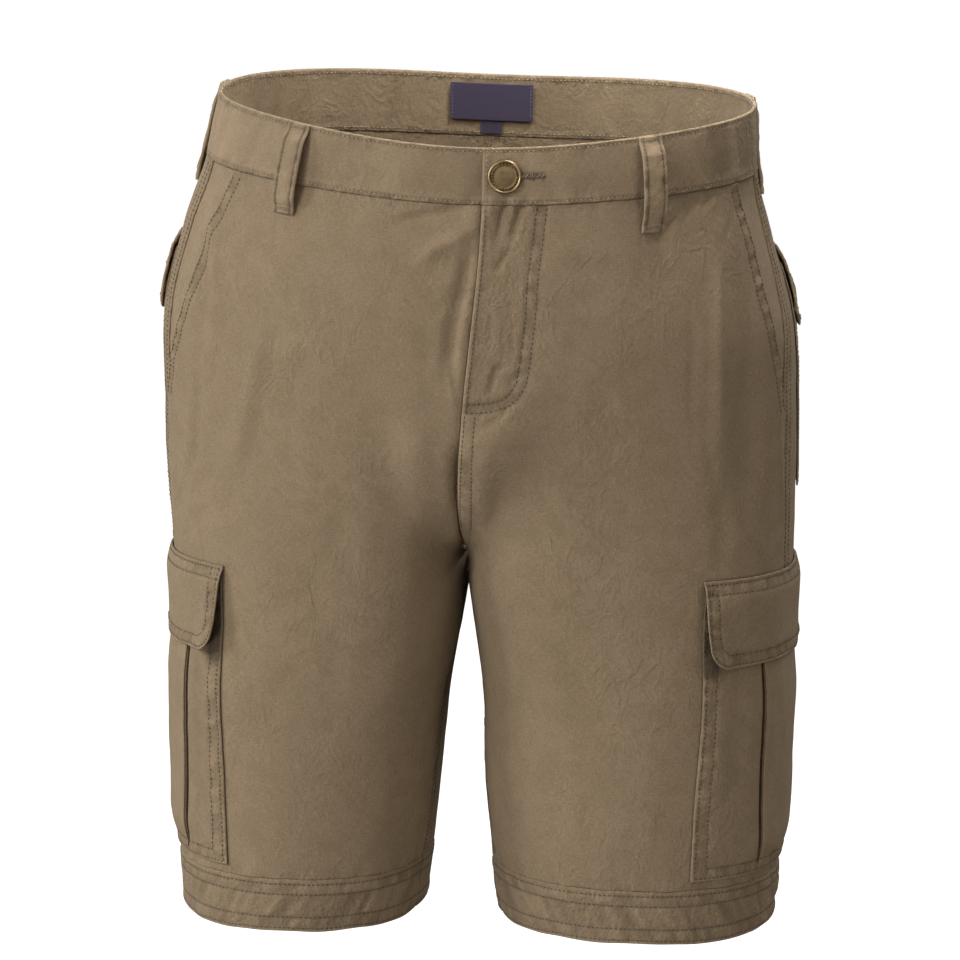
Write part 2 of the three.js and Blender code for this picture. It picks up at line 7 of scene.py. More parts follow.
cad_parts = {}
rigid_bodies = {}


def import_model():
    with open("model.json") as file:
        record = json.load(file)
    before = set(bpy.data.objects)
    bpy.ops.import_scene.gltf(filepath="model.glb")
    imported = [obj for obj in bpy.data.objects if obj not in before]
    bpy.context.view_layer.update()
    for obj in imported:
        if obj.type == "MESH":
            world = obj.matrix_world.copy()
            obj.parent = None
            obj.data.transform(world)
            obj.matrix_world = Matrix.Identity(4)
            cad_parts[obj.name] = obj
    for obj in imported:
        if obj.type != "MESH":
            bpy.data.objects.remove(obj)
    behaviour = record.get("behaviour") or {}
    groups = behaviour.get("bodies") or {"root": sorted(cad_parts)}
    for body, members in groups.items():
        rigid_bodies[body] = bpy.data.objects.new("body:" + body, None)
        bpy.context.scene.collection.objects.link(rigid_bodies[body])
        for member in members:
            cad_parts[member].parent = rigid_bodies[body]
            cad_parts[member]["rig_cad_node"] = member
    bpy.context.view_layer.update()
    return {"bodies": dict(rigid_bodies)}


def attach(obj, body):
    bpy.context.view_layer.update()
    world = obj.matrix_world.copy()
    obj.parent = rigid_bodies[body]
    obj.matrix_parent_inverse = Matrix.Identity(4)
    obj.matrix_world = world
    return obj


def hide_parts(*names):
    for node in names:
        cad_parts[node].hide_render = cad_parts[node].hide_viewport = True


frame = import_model()

# ------------------------------------------------------------------ camera, at the photograph's viewing angle
# sizes below are mm in the part's own frame, and turn to metres when a mesh is made
MM = 0.001
VIEW = dict(azimuth=5.5, elevation=10.0, distance=2.8, target=(0, 0, -0.228), lens=166.65, roll=-1.0, shift=(-1 / 960, 12 / 960))


def aim(obj, place, towards, roll=0.0):
    back = (Vector(place) - Vector(towards)).normalized()
    right = Vector((0, 0, 1)).cross(back).normalized()
    up = back.cross(right)
    a = radians(roll)
    right, up = right * cos(a) - up * sin(a), right * sin(a) + up * cos(a)
    m = Matrix((right, up, back)).transposed().to_4x4()
    m.translation = Vector(place)
    obj.matrix_world = m


az, el = radians(VIEW["azimuth"]), radians(VIEW["elevation"])
eye = Vector(VIEW["target"]) + VIEW["distance"] * Vector((sin(az) * cos(el), -cos(az) * cos(el), sin(el)))
cam_data = bpy.data.cameras.new("view")
cam_data.lens, cam_data.sensor_width = VIEW["lens"], 36.0
cam_data.shift_x, cam_data.shift_y = VIEW["shift"]
cam_data.clip_start, cam_data.clip_end = 0.1, 200
cam = bpy.data.objects.new("view", cam_data)
bpy.context.scene.collection.objects.link(cam)
aim(cam, eye, VIEW["target"], VIEW["roll"])
bpy.context.scene.camera = cam

# ------------------------------------------------------------------ named sizes, as in the solids
GAP = 0.3
CLOTH = 1.2
Z_TOP, Z_BAND, Z_CROTCH, Z_HEMBAND, Z_HEM = 22.0, -18.5, -262.0, -458.0, -492.0
DIP_TOP, DIP_BAND, DIP_FADE, DIP_POWER, BACK_RISE, BACK_SAG, TILT = 22.0, 15.5, -200.0, 1.2, 7.0, 4.0, 0.012
RISE_FRONT, RISE_BACK, BLEND_U, BLEND_UP, BLEND_DOWN = 85.0, 120.0, 0.16, 50.0, 70.0
BAND = dict(out=0.6, thick=2.5)
UNDERLAP = dict(out=-2.2, length=38.0)
HEM = dict(out=0.7, thick=2.0)
LOOP = dict(width=14.5, thick=2.0, stand=3.4, side_stand=2.4)
BUTTON = dict(front=13.2, level=1.7, radius=10.2, slit=37.0)
POCKET = dict(front=-74.5, lean=-8.5, back=77.0, top=-272.0, bottom=-452.0, swell=2.2, pleat={1: 30.0, -1: 44.0}, rise=1.5)
FLAP = dict(front=-75.5, back=78.5, top=-263.0, bottom=-317.0, corner=14.0, curl=2.4)
BACK_POCKET = dict(front=43.0, back=181.0, top=-80.0, bottom=-218.0, swell=0.8)
BACK_FLAP = dict(front=41.0, back=183.0, top=-69.0, bottom=-119.0, corner=12.0, curl=0.0)
FLY = dict(shield_from=-12.0, shield_to=40.0, bottom=-158.0, zip_from=2.0, zip_to=26.0, zip_bottom=-150.0)
FACING = dict(under=22.0, bottom=-172.0, behind=0.7)
LABEL = dict(width=54.0, top=5.5, bottom=29.5, thick=0.8)
TAB = dict(width=13.5, top=26.5, bottom=38.5, thick=0.8)
STITCH = dict(length=2.0, gap=0.35, radius=0.27)
TWIN = 6.3  # distance between two rows of topstitching
ROW = 1.7   # first row from an edge


def columns(names, *rows):
    """A small table with named columns, sorted by its first one."""
    rows = sorted(rows)
    return {n: np.array([r[i] for r in rows], float) for i, n in enumerate(names.split())}


TRUNK = columns("z right left front back square",
    (30, 165, 164, 110, 122, 2.15), (20, 167, 166, 111, 123, 2.15), (-20, 174.5, 168, 115, 128, 2.15),
    (-60, 187, 179, 119, 136, 2.2), (-110, 198, 194, 121, 141, 2.3), (-160, 197, 199, 120, 140, 2.35),
    (-210, 194, 202, 117, 134, 2.4), (-262, 188.5, 203.5, 114, 126, 2.4), (-310, 184, 203.5, 110, 118, 2.4))
LEG = columns("z inR inL outR outL front back mid square squareIn turn",
    (-140, 0, 0, 196, 198, 112, 118, 4, 2.2, 3.4, 0), (-262, 0, 0, 187, 203.5, 110, 114, 4, 2.2, 3.4, 0),
    (-300, 3, 5, 183.5, 202, 107, 111, 3, 2.2, 3, 6), (-350, 10, 12, 182.5, 203, 104, 107, 2, 2.2, 2.6, 12),
    (-400, 14, 14, 181, 203, 101, 104, 1, 2.15, 2.35, 16), (-450, 18, 20, 179.5, 202.5, 98, 101, 0, 2.15, 2.2, 20),
    (-492, 22.5, 25.5, 176.5, 200.5, 96, 98, 0, 2.1, 2.1, 22), (-502, 23.5, 27, 175.5, 199.5, 95, 97, 0, 2.1, 2.1, 22))
LEG_DEPTH = {-1: 1.03, 1: 0.97}
MIDDLE = columns("z x", (30, 0), (-20, 0), (-160, -3), (-262, -6), (-400, -8), (-500, -9))
TWIST = columns("z deg", (30, 4.2), (-20, 4.2), (-60, 3.6), (-110, 2.2), (-160, 0.9), (-210, 0.2), (-262, 0), (-500, 0))
SIDE_SEAM = columns("z u", (30, .455), (-20, .455), (-60, .452), (-99, .446), (-127, .440), (-165, .437), (-262, .442), (-400, .452), (-500, .46))
MOUTH = columns("z s", (-10, -35), (-19, -34), (-58, -28.5), (-95, -24.5), (-121, -16.5), (-140, -8.5), (-163, -2), (-168, 0))


def through(table, key, z):
    """A smooth curve through one column of a table."""
    x, y = table["z"], table[key]
    h = np.diff(x)
    s = np.diff(y) / h
    d = np.zeros_like(y)
    d[1:-1] = (s[:-1] * h[:-1] + s[1:] * h[1:]) / (h[:-1] + h[1:])
    d[0], d[-1] = s[0], s[-1]
    z = np.clip(np.asarray(z, float), x[0], x[-1])
    i = np.clip(np.searchsorted(x, z, side="right") - 1, 0, len(x) - 2)
    t = (z - x[i]) / h[i]
    return ((2 * t**3 - 3 * t**2 + 1) * y[i] + (t**3 - 2 * t**2 + t) * h[i] * d[i]
            + (-2 * t**3 + 3 * t**2) * y[i + 1] + (t**3 - t**2) * h[i] * d[i + 1])


def smooth(t):
    t = np.clip(t, 0, 1)
    return t * t * (3 - 2 * t)


def step(a, b, x):
    return smooth((np.asarray(x, float) - a) / (b - a))


def mix(a, b, t):
    return a + (b - a) * t


# ------------------------------------------------------------------ the cloth surface, the same as the solids'
def cloth(side, u, z):
    u, z = np.broadcast_arrays(np.asarray(u, float), np.asarray(z, float))
    zs, inverse = np.unique(z, return_inverse=True)
    inverse = inverse.reshape(z.shape)
    col = lambda table, key: through(table, key, zs)[inverse]
    n = col(TRUNK, "square")
    th = (u - 0.5) * pi + side * np.radians(col(TWIST, "deg"))
    c, s = np.cos(th), np.sin(th)
    half = np.where(side * c > 0, col(TRUNK, "left"), col(TRUNK, "right"))
    depth = np.where(s < 0, col(TRUNK, "front"), col(TRUNK, "back"))
    r = ((np.abs(c) / half) ** n + (np.abs(s) / depth) ** n) ** (-1 / n)
    tx, ty = r * c, r * s
    inner = np.where(z < Z_CROTCH, np.maximum(0, col(LEG, "inL" if side > 0 else "inR")), 0.0)
    outer = col(LEG, "outL" if side > 0 else "outR")
    mid, w = (inner + outer) / 2, (outer - inner) / 2
    near = np.minimum(u, 1 - u)
    ps = pi + 2 * pi * u + np.radians(col(LEG, "turn")) * (1 - smooth(near * 4))
    c, s = np.cos(ps), np.sin(ps)
    depth = np.where(s < 0, col(LEG, "front"), col(LEG, "back")) * LEG_DEPTH[side]
    n = np.where(c < 0, col(LEG, "squareIn"), col(LEG, "square"))
    r = ((np.abs(c) / w) ** n + (np.abs(s) / depth) ** n) ** (-1 / n)
    lx, ly = mid + r * c, col(LEG, "mid") + r * s
    g = smooth(near / BLEND_U)
    reach = mix(RISE_FRONT, RISE_BACK, smooth(u)) + (BLEND_UP + BLEND_DOWN) * g
    t = np.clip((z - (Z_CROTCH - BLEND_DOWN * g)) / reach, 0, 1)
    m = 1 - (t * (2 - t)) ** (0.5 + 1.5 * g)
    x, y = mix(tx, lx, m), mix(ty, ly, m)
    fade = smooth((z - DIP_FADE) / (Z_BAND - DIP_FADE))
    fr, bk = np.clip(-np.sin(th), 0, 1), np.clip(np.sin(th), 0, 1)
    dip = mix(DIP_BAND, DIP_TOP, np.clip((z - Z_BAND) / (Z_TOP - Z_BAND), 0, 1))
    dz = fade * (-dip * fr**DIP_POWER + BACK_RISE * bk * (2 - bk) - BACK_SAG * bk**3 - TILT * side * x)
    return np.stack([side * (x + GAP / 2) + col(MIDDLE, "x"), y, z + dz], -1)


def unit(v):
    return v / np.maximum(np.linalg.norm(v, axis=-1, keepdims=True), 1e-9)


def normal(side, u, z):
    a = cloth(side, u + 2e-3, z) - cloth(side, u - 2e-3, z)
    b = cloth(side, u, z + 0.6) - cloth(side, u, z - 0.6)
    return unit(np.cross(a, b)) * side


UU = np.linspace(0, 1, 401)


def arcs(side, z):
    """Distances round one half at each level, zero at the side seam: one row for a level."""
    P = cloth(side, UU[None, :], np.asarray(z, float)[:, None])
    d = np.concatenate([np.zeros((len(P), 1)), np.cumsum(np.linalg.norm(np.diff(P, axis=1), axis=2), axis=1)], 1)
    zero = np.array([np.interp(u, UU, r) for u, r in zip(through(SIDE_SEAM, "u", z), d)])
    return d - zero[:, None]


def u_at(side, s, z, D=None):
    """u for distances s (one row for a level) from the side seam."""
    D = arcs(side, z) if D is None else D
    return np.stack([np.interp(row, d, UU) for row, d in zip(s, D)])


# ------------------------------------------------------------------ seeded noise
rng = np.random.RandomState(11)
LATTICE = rng.rand(32, 32, 32) * 2 - 1
STRING = rng.rand(64, 512) * 2 - 1


def wave(x, seed=0):
    """Smooth uneven waves along a line, -1 to 1, about one swing for each unit."""
    x = np.asarray(x, float) + 1000
    i = np.floor(x).astype(int)
    t = x - i
    t = t * t * (3 - 2 * t)
    row = STRING[seed % 64]
    return mix(row[i % 512], row[(i + 1) % 512], t)


def cloud(P, size, seed=0):
    """Smooth uneven noise in space, -1 to 1, in cells of that size."""
    q = np.asarray(P, float) / size + 500 + seed * 7.3
    i = np.floor(q).astype(int)
    t = q - i
    t = t * t * (3 - 2 * t)
    out = 0
    for a in (0, 1):
        for b in (0, 1):
            for c in (0, 1):
                w = (t[..., 0] if a else 1 - t[..., 0]) * (t[..., 1] if b else 1 - t[..., 1]) * (t[..., 2] if c else 1 - t[..., 2])
                out = out + w * LATTICE[(i[..., 0] + a) % 32, (i[..., 1] + b) % 32, (i[..., 2] + c) % 32]
    return out


# ------------------------------------------------------------------ folds in the panels, shared by all that lies on them
# from: the distance is counted from the side seam (side, to the back), the centre front or inseam (front), or the centre back or inseam (back)
FOLDS = [
    # wearer's left front: pulls on the fly, the pull at the pocket, wrinkles under the belt loop
    dict(hand=1, by="side", path=[(-189, -22), (-194, -34), (-200, -49), (-204, -60)], width=2.0, depth=-2.6),
    dict(hand=1, by="side", path=[(-179, -28), (-185, -36), (-190, -46), (-194, -57)], width=2.0, depth=-2.8),
    dict(hand=1, by="side", path=[(-198, -24), (-204, -39), (-210, -53)], width=3.0, depth=1.2),
    dict(hand=1, by="side", path=[(-195, -58), (-203, -68), (-208, -76)], width=1.9, depth=-1.5),
    dict(hand=1, by="side", path=[(-218, -63), (-210, -60)], width=1.9, depth=-1.1),
    dict(hand=1, by="side", path=[(-200, -130), (-207, -131), (-208, -140), (-208, -149)], width=1.9, depth=-1.9),
    dict(hand=1, by="side", path=[(-189, -132), (-196, -137), (-198, -144)], width=1.9, depth=-1.3),
    dict(hand=1, by="side", path=[(-209, -78), (-208, -134)], width=3.0, depth=0.5),
    dict(hand=1, by="side", path=[(-200, -106), (-199, -125)], width=1.8, depth=-0.5),
    dict(hand=1, by="side", path=[(-211, -168), (-200, -161), (-194, -150)], width=2.6, depth=-0.9),
    dict(hand=1, by="side", path=[(-209, -178), (-213, -229), (-219, -256)], width=8.0, depth=2.0),
    dict(hand=1, by="side", path=[(-45, -52), (-48, -88), (-43, -152), (-41, -202), (-51, -242)], width=12.0, depth=-3.4),
    dict(hand=1, by="side", path=[(-56, -47), (-67, -80), (-71, -111), (-63, -163), (-56, -188)], width=4.6, depth=2.3),
    dict(hand=1, by="side", path=[(-90, -93), (-86, -136), (-80, -174), (-81, -193)], width=2.2, depth=-1.0),
    dict(hand=1, by="side", path=[(-77, -146), (-72, -175), (-68, -194), (-65, -213)], width=2.2, depth=-1.0),
    dict(hand=1, by="side", path=[(-78, -30), (-96, -48), (-113, -61)], width=2.2, depth=-1.3),
    dict(hand=1, by="side", path=[(-68, -28), (-82, -41), (-89, -52)], width=2.2, depth=-1.3),
    dict(hand=1, by="side", path=[(-58, -28), (-71, -39)], width=2.2, depth=-1.0),
    dict(hand=1, by="side", path=[(-48, -46), (-62, -63)], width=2.2, depth=-1.1),
    dict(hand=1, by="side", path=[(-17, -111), (-10, -168), (-4, -220), (-2, -255)], width=3.0, depth=0.9),
    dict(hand=1, by="side", path=[(-62, -200), (-61, -232), (-65, -262)], width=6.0, depth=-1.2),
    dict(hand=1, by="side", path=[(-150, -60), (-146, -80), (-150, -100)], width=9.0, depth=-0.9),
    dict(hand=1, by="side", path=[(-158, -136), (-141, -147), (-132, -173), (-138, -196)], width=9.0, depth=-0.9),
    dict(hand=1, by="side", path=[(-172, -174), (-162, -199), (-162, -237)], width=9.0, depth=0.9),
    dict(hand=1, by="side", path=[(-165, -290), (-150, -340), (-152, -392)], width=10.0, depth=-0.9),
    dict(hand=1, by="front", path=[(118, -290), (132, -352), (126, -420)], width=15, depth=-0.7),
    # wearer's right front: the trough beside the fly, pulls from the fly's top, the hip
    dict(hand=-1, by="side", path=[(-206, -54), (-209, -79), (-211, -107), (-211, -128), (-214, -148)], width=4.2, depth=-4.2),
    dict(hand=-1, by="side", path=[(-200, -35), (-185, -38), (-163, -43), (-151, -48)], width=3.4, depth=-2.0),
    dict(hand=-1, by="side", path=[(-125, -25), (-157, -28), (-186, -32)], width=4.0, depth=0.8),
    dict(hand=-1, by="side", path=[(-203, -50), (-187, -60), (-175, -71)], width=5.0, depth=1.8),
    dict(hand=-1, by="side", path=[(-209, -121), (-212, -141), (-217, -158)], width=1.9, depth=0.8),
    dict(hand=-1, by="side", path=[(-204, -88), (-199, -100)], width=3.0, depth=-0.6),
    dict(hand=-1, by="side", path=[(-220, -175), (-221, -201), (-226, -230)], width=4.5, depth=-4.0),
    dict(hand=-1, by="side", path=[(-262, -276), (-270, -310), (-262, -352)], width=11.0, depth=1.8),
    dict(hand=-1, by="side", path=[(-18, -37), (-40, -68), (-54, -97), (-58, -126)], width=5.0, depth=2.0),
    dict(hand=-1, by="side", path=[(-25, -64), (-44, -99), (-48, -137)], width=5.0, depth=-1.8),
    dict(hand=-1, by="side", path=[(-43, -124), (-45, -163), (-44, -195), (-34, -218), (-18, -234)], width=3.2, depth=-1.9),
    dict(hand=-1, by="side", path=[(-36, -145), (-38, -189), (-30, -219), (-20, -232)], width=3.2, depth=0.9),
    dict(hand=-1, by="side", path=[(-95, -111), (-86, -151), (-80, -190), (-77, -222)], width=7.0, depth=1.9),
    dict(hand=-1, by="side", path=[(-105, -103), (-96, -144), (-90, -183)], width=6.0, depth=-0.8),
    dict(hand=-1, by="side", path=[(-142, -198), (-153, -222), (-145, -248)], width=8.0, depth=-0.9),
    dict(hand=-1, by="side", path=[(-145, -85), (-157, -97), (-150, -118)], width=8.0, depth=0.8),
    dict(hand=-1, by="side", path=[(-175, -82), (-198, -101), (-198, -149)], width=8.0, depth=-0.8),
    dict(hand=-1, by="side", path=[(-127, -255), (-150, -300), (-156, -352)], width=9.0, depth=-0.9),
    dict(hand=-1, by="side", path=[(-123, -205), (-142, -203)], width=2.2, depth=-0.6),
    dict(hand=-1, by="front", path=[(96, -300), (120, -352), (118, -410)], width=15, depth=-0.7),
    # the rise stays full beside the crotch seam
    dict(hand=1, by="front", path=[(33, -150), (29, -192), (24, -214), (20, -252)], width=21, depth=4.6),
    dict(hand=-1, by="front", path=[(31, -160), (28, -192), (23, -214), (20, -252)], width=13, depth=5.0),
    # seat and back of the legs
    dict(hand=1, by="back", path=[(8, -208), (46, -226), (92, -232), (134, -222)], width=11, depth=-2.4),
    dict(hand=1, by="back", path=[(14, -240), (60, -256), (104, -254)], width=9, depth=-1.6),
    dict(hand=1, by="back", path=[(20, -284), (66, -300), (96, -296)], width=12, depth=-1.3),
    dict(hand=1, by="back", path=[(96, -268), (110, -340), (104, -430)], width=15, depth=-1.9),
    dict(hand=1, by="back", path=[(52, -320), (58, -380), (50, -446)], width=13, depth=-1.4),
    dict(hand=1, by="back", path=[(14, -58), (24, -100), (20, -150)], width=9, depth=-0.9),
    dict(hand=-1, by="back", path=[(6, -214), (40, -230), (84, -238), (120, -230)], width=11, depth=-2.2),
    dict(hand=-1, by="back", path=[(18, -248), (56, -262), (92, -262)], width=9, depth=-1.4),
    dict(hand=-1, by="back", path=[(30, -292), (74, -306), (108, -300)], width=12, depth=-1.3),
    dict(hand=-1, by="back", path=[(88, -276), (98, -350), (108, -438)], width=15, depth=-2.0),
    dict(hand=-1, by="back", path=[(44, -330), (50, -386), (58, -440)], width=12, depth=-1.2),
    dict(hand=-1, by="back", path=[(16, -60), (22, -104), (26, -146)], width=9, depth=-0.8),
    dict(hand=1, by="side", path=[(20, -60), (26, -130), (18, -190)], width=9, depth=-0.9),
    dict(hand=-1, by="side", path=[(22, -52), (28, -120), (22, -196)], width=9, depth=-0.9),
]


def crease(x, z, path, width, depth):
    """A soft trough or ridge along a path, fading towards its ends."""
    path = np.array(path, float)
    lengths = np.linalg.norm(np.diff(path, axis=0), axis=1)
    total, done = lengths.sum(), 0.0
    best = np.full(np.shape(x), 1e9)
    where = np.zeros(np.shape(x))
    for (a, b), n in zip(zip(path[:-1], path[1:]), lengths):
        d = (b - a) / n
        t = np.clip((x - a[0]) * d[0] + (z - a[1]) * d[1], 0, n)
        far = np.hypot(x - a[0] - t * d[0], z - a[1] - t * d[1])
        closer = far < best
        best = np.where(closer, far, best)
        where = np.where(closer, done + t, where)
        done += n
    t = where / total
    return depth * np.exp(-((best / width) ** 2)) * mix(0.25, 1, smooth(t / 0.3)) * smooth((1.02 - t) / 0.35)


def folds(side, s, front, back, P):
    """Height of the folds over the plain surface. s, front and back are distances from the three seams; P gives the level too."""
    z = P[..., 2]
    h = np.zeros(np.shape(s))
    for f in FOLDS:
        if f["hand"] == side:
            one = crease({"side": s, "front": front, "back": back}[f["by"]], z, f["path"], f["width"], f["depth"])
            h = h + one * (step(-18.5, -24, z) if f["width"] < 4 else mix(0.25, 1, step(-18, -44, z)))
    h = h * mix(0.6, 1, step(-470, -440, z))
    body = mix(0.35, 1, step(0, -60, z))
    h = h + body * (0.62 * cloud(P, 46, 1) + 0.42 * cloud(P * [1, 1, 0.7], 21, 2) + 0.20 * cloud(P, 10, 3))
    return h


# ------------------------------------------------------------------ puckers along seams
def ladder(l, t, a, b, pitch, height, slant=0.0, seed=0):
    """Small ridges across the strip between two rows of stitching, at distances a and b from the edge."""
    w = step(a - 1.6, a + 0.9, t) * step(b + 1.8, b - 0.9, t)
    after = np.exp(-np.maximum(t - b, 0) / 4.0) * step(b - 0.5, b + 1.5, t) * step(b + 9, b + 2, t) * 0.2
    x = (l + slant * t) / pitch
    return height * (w * (0.85 * wave(x, seed) + 0.6 * wave(x * 1.9, seed + 1) - 0.25) + after * wave(l / (pitch * 1.25), seed + 2))


def groove(t, at, depth=0.32, width=0.85):
    """The line that a row of stitches pulls into the cloth."""
    return -depth * np.exp(-(((t - at) / width) ** 2))


def stitch_groove_shade(t):
    """Painted shade along the lines of the twin rows, where the stitches pull grooves into the cloth."""
    return -0.16 * (np.exp(-(((t - ROW) / 0.75) ** 2)) + np.exp(-(((t - ROW - TWIN) / 0.75) ** 2)))


def strip(t, deep):
    return -0.12 * deep * step(ROW - 0.5, ROW + 0.8, t) * step(ROW + TWIN + 0.4, ROW + TWIN - 0.8, t)


def gathers(l, t, height, pitch, reach, seed=0):
    return height * np.exp(-np.maximum(t, 0) / reach) * (0.75 * wave(l / pitch, seed) + 0.4 * wave(l / pitch * 2.1, seed + 5))


# ------------------------------------------------------------------ meshes
body = next(iter(frame["bodies"]))


def mesh_object(name, verts, faces, material, attrs=None, flat=False):
    """verts in mm; faces an array of quads or a list of arrays; attrs: name -> one value or one vector for each vertex."""
    faces = [faces] if isinstance(faces, np.ndarray) else faces
    mesh = bpy.data.meshes.new(name)
    loops = np.concatenate([f.ravel() for f in faces]).astype(np.int32)
    sizes = np.concatenate([np.full(len(f), f.shape[1]) for f in faces]).astype(np.int32)
    mesh.vertices.add(len(verts))
    mesh.vertices.foreach_set("co", (np.asarray(verts) * MM).astype(np.float32).ravel())
    mesh.loops.add(len(loops))
    mesh.loops.foreach_set("vertex_index", loops)
    mesh.polygons.add(len(sizes))
    mesh.polygons.foreach_set("loop_start", np.concatenate([[0], np.cumsum(sizes)[:-1]]).astype(np.int32))
    mesh.polygons.foreach_set("loop_total", sizes)
    mesh.update(calc_edges=True)
    mesh.polygons.foreach_set("use_smooth", np.full(len(sizes), not flat))
    for key, value in (attrs or {}).items():
        value = np.asarray(value, np.float32)
        kind = "FLOAT_VECTOR" if value.ndim == 2 else "FLOAT"
        a = mesh.attributes.new(key, kind, "POINT")
        a.data.foreach_set("vector" if value.ndim == 2 else "value", value.ravel())
    mesh.materials.append(material)
    obj = bpy.data.objects.new(name, mesh)
    bpy.context.scene.collection.objects.link(obj)
    return obj


def volume_sign(verts, quads):
    a, b, c, d = (verts[quads[:, k]] for k in range(4))
    return np.sign(np.einsum("ij,ij->", a, np.cross(b, c)) + np.einsum("ij,ij->", a, np.cross(c, d)))


class Piece:
    """One cut piece of cloth: a fine grid of outer and inner points, and where its columns lie."""

    def __init__(self, name, S, Z, outer, inner, tone=None, seam=None, ring=False, rim=0.35):
        self.name, self.S, self.Z, self.outer, self.inner, self.ring = name, S, Z, outer, inner, ring
        self.tone = np.zeros(outer.shape[:2]) if tone is None else tone
        self.seam = np.zeros(outer.shape[:2]) if seam is None else seam
        self.rim = rim
        self.levels = None   # levels of all points, where Z is only a share of the way
        closed = np.concatenate([outer, outer[:, :1]], 1) if ring else outer
        a = np.gradient(closed, axis=1)
        if ring:
            a[:, 0] = a[:, -1] = closed[:, 1] - closed[:, -2]
            a = a[:, :-1]
        b = np.gradient(outer, axis=0)
        n = unit(np.cross(a, b))
        out = outer - inner
        self.N = n * np.sign((n * out).sum(-1, keepdims=True) + 1e-12)

    def build(self, material, slot, flat, area=None, held="stretched", rests_on=(), node=None, st_turn=False):
        nj, ni = self.outer.shape[:2]
        out, inn = self.outer.copy(), self.inner.copy()
        n = nj * ni
        idx = np.arange(n).reshape(nj, ni)
        nxt = (lambda g: np.roll(g, -1, 1)) if self.ring else (lambda g: g[:, 1:])
        cut = (lambda g: g) if self.ring else (lambda g: g[:, :-1])
        A, B = cut(idx), nxt(idx)
        quads = [np.stack([A[:-1], B[:-1], B[1:], A[1:]], -1).reshape(-1, 4)]
        quads.append(np.stack([A[:-1], A[1:], B[1:], B[:-1]], -1).reshape(-1, 4) + n)
        # the rim: the edge's two corners drawn in a little, and one rounded line of points between them
        verts = [out.reshape(-1, 3), inn.reshape(-1, 3)]
        st = np.stack([self.S, np.broadcast_to(self.Z[:, None], self.S.shape) if self.levels is None else self.levels], -1) * MM
        extra, ext_src = [], []
        count = 2 * n
        if self.ring:
            borders = [(idx[0], idx[1], True), (idx[-1], idx[-2], True)]
        else:
            loop = np.concatenate([idx[0, :-1], idx[:-1, -1], idx[-1, :0:-1], idx[:0:-1, 0]])
            inward = np.concatenate([idx[1, :-1], idx[:-1, -2], idx[-2, :0:-1], idx[:0:-1, 1]])
            borders = [(loop, inward, True)]
        flat_out, flat_in = verts[0], verts[1]
        for edge, near, wraps in borders:
            o, i = flat_out[edge].copy(), flat_in[edge].copy()
            away = unit(o - flat_out[near])
            thick = np.linalg.norm(o - i, axis=1, keepdims=True)
            middle = (o + i) / 2 + away * np.minimum(self.rim, thick * 0.5) * 0.5
            flat_out[edge] = mix(o, i, 0.16) - away * self.rim * 0.2
            flat_in[edge] = mix(i, o, 0.16) - away * self.rim * 0.2
            k = len(edge)
            ring_ids = count + np.arange(k)
            count += k
            extra.append(middle)
            ext_src.append(edge)
            e2, r2 = np.roll(edge, -1), np.roll(ring_ids, -1)
            quads.append(np.stack([edge, ring_ids, r2, e2], -1))
            quads.append(np.stack([ring_ids, edge + n, e2 + n, r2], -1))
        verts = np.concatenate([flat_out, flat_in] + extra)
        src = np.concatenate([np.arange(n), np.arange(n)] + ext_src)
        # one winding for the whole closed shell
        q0 = quads[0]
        sign = volume_sign(verts, np.concatenate(quads[:2]))
        if sign < 0:
            quads = [quads[0][:, ::-1], quads[1][:, ::-1]] + quads[2:]
        quads = fix_rims(quads)
        stf = st.reshape(-1, 2)[src]
        stv = np.concatenate([stf, np.zeros((len(stf), 1))], 1)
        tone = self.tone.ravel()[src].copy()
        seam = self.seam.ravel()[src]
        tone[2 * n:] += 0.35
        obj = mesh_object(self.name + "_cloth", verts, quads, material, {"st": stv, "tone": tone, "seam": seam})
        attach(obj, body)
        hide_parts(node or self.name)
        return obj

    def locate(self, s, z):
        """Row and column, as fractions, of points given by distance and level."""
        j = np.interp(z, self.Z, np.arange(len(self.Z)))
        j0 = np.clip(np.floor(j).astype(int), 0, len(self.Z) - 2)
        t = j - j0
        i = np.array([np.interp(a, mix(self.S[k], self.S[k + 1], f), np.arange(self.S.shape[1])) for a, k, f in zip(s, j0, t)])
        return i, j

    def point(self, s, z, inner=False):
        i, j = self.locate(np.asarray(s, float), np.asarray(z, float))
        i0 = np.clip(np.floor(i).astype(int), 0, self.S.shape[1] - 2)
        j0 = np.clip(np.floor(j).astype(int), 0, self.S.shape[0] - 2)
        a, b = (i - i0)[:, None], (j - j0)[:, None]

        def look(G):
            return mix(mix(G[j0, i0], G[j0, i0 + 1], a), mix(G[j0 + 1, i0], G[j0 + 1, i0 + 1], a), b)
        return look(self.inner if inner else self.outer), unit(look(self.N)) * (-1 if inner else 1)


def fix_rims(quads):
    """Turns the rim faces so that each shared edge runs both ways."""
    def directed(q):
        return np.concatenate([np.stack([q[:, k], q[:, (k + 1) % 4]], -1) for k in range(4)])
    key = lambda e: e[:, 0].astype(np.int64) * 10_000_000 + e[:, 1]
    for k in range(2, len(quads), 2):
        top, low = quads[k], quads[k + 1]
        main = set(key(directed(quads[0])).tolist())
        # the rim quad's edge from its first to its last corner lies on the outer face
        probe = top[0]
        if int(probe[3]) * 10_000_000 + int(probe[0]) in main:
            quads[k], quads[k + 1] = top[:, ::-1], low[:, ::-1]
    return quads


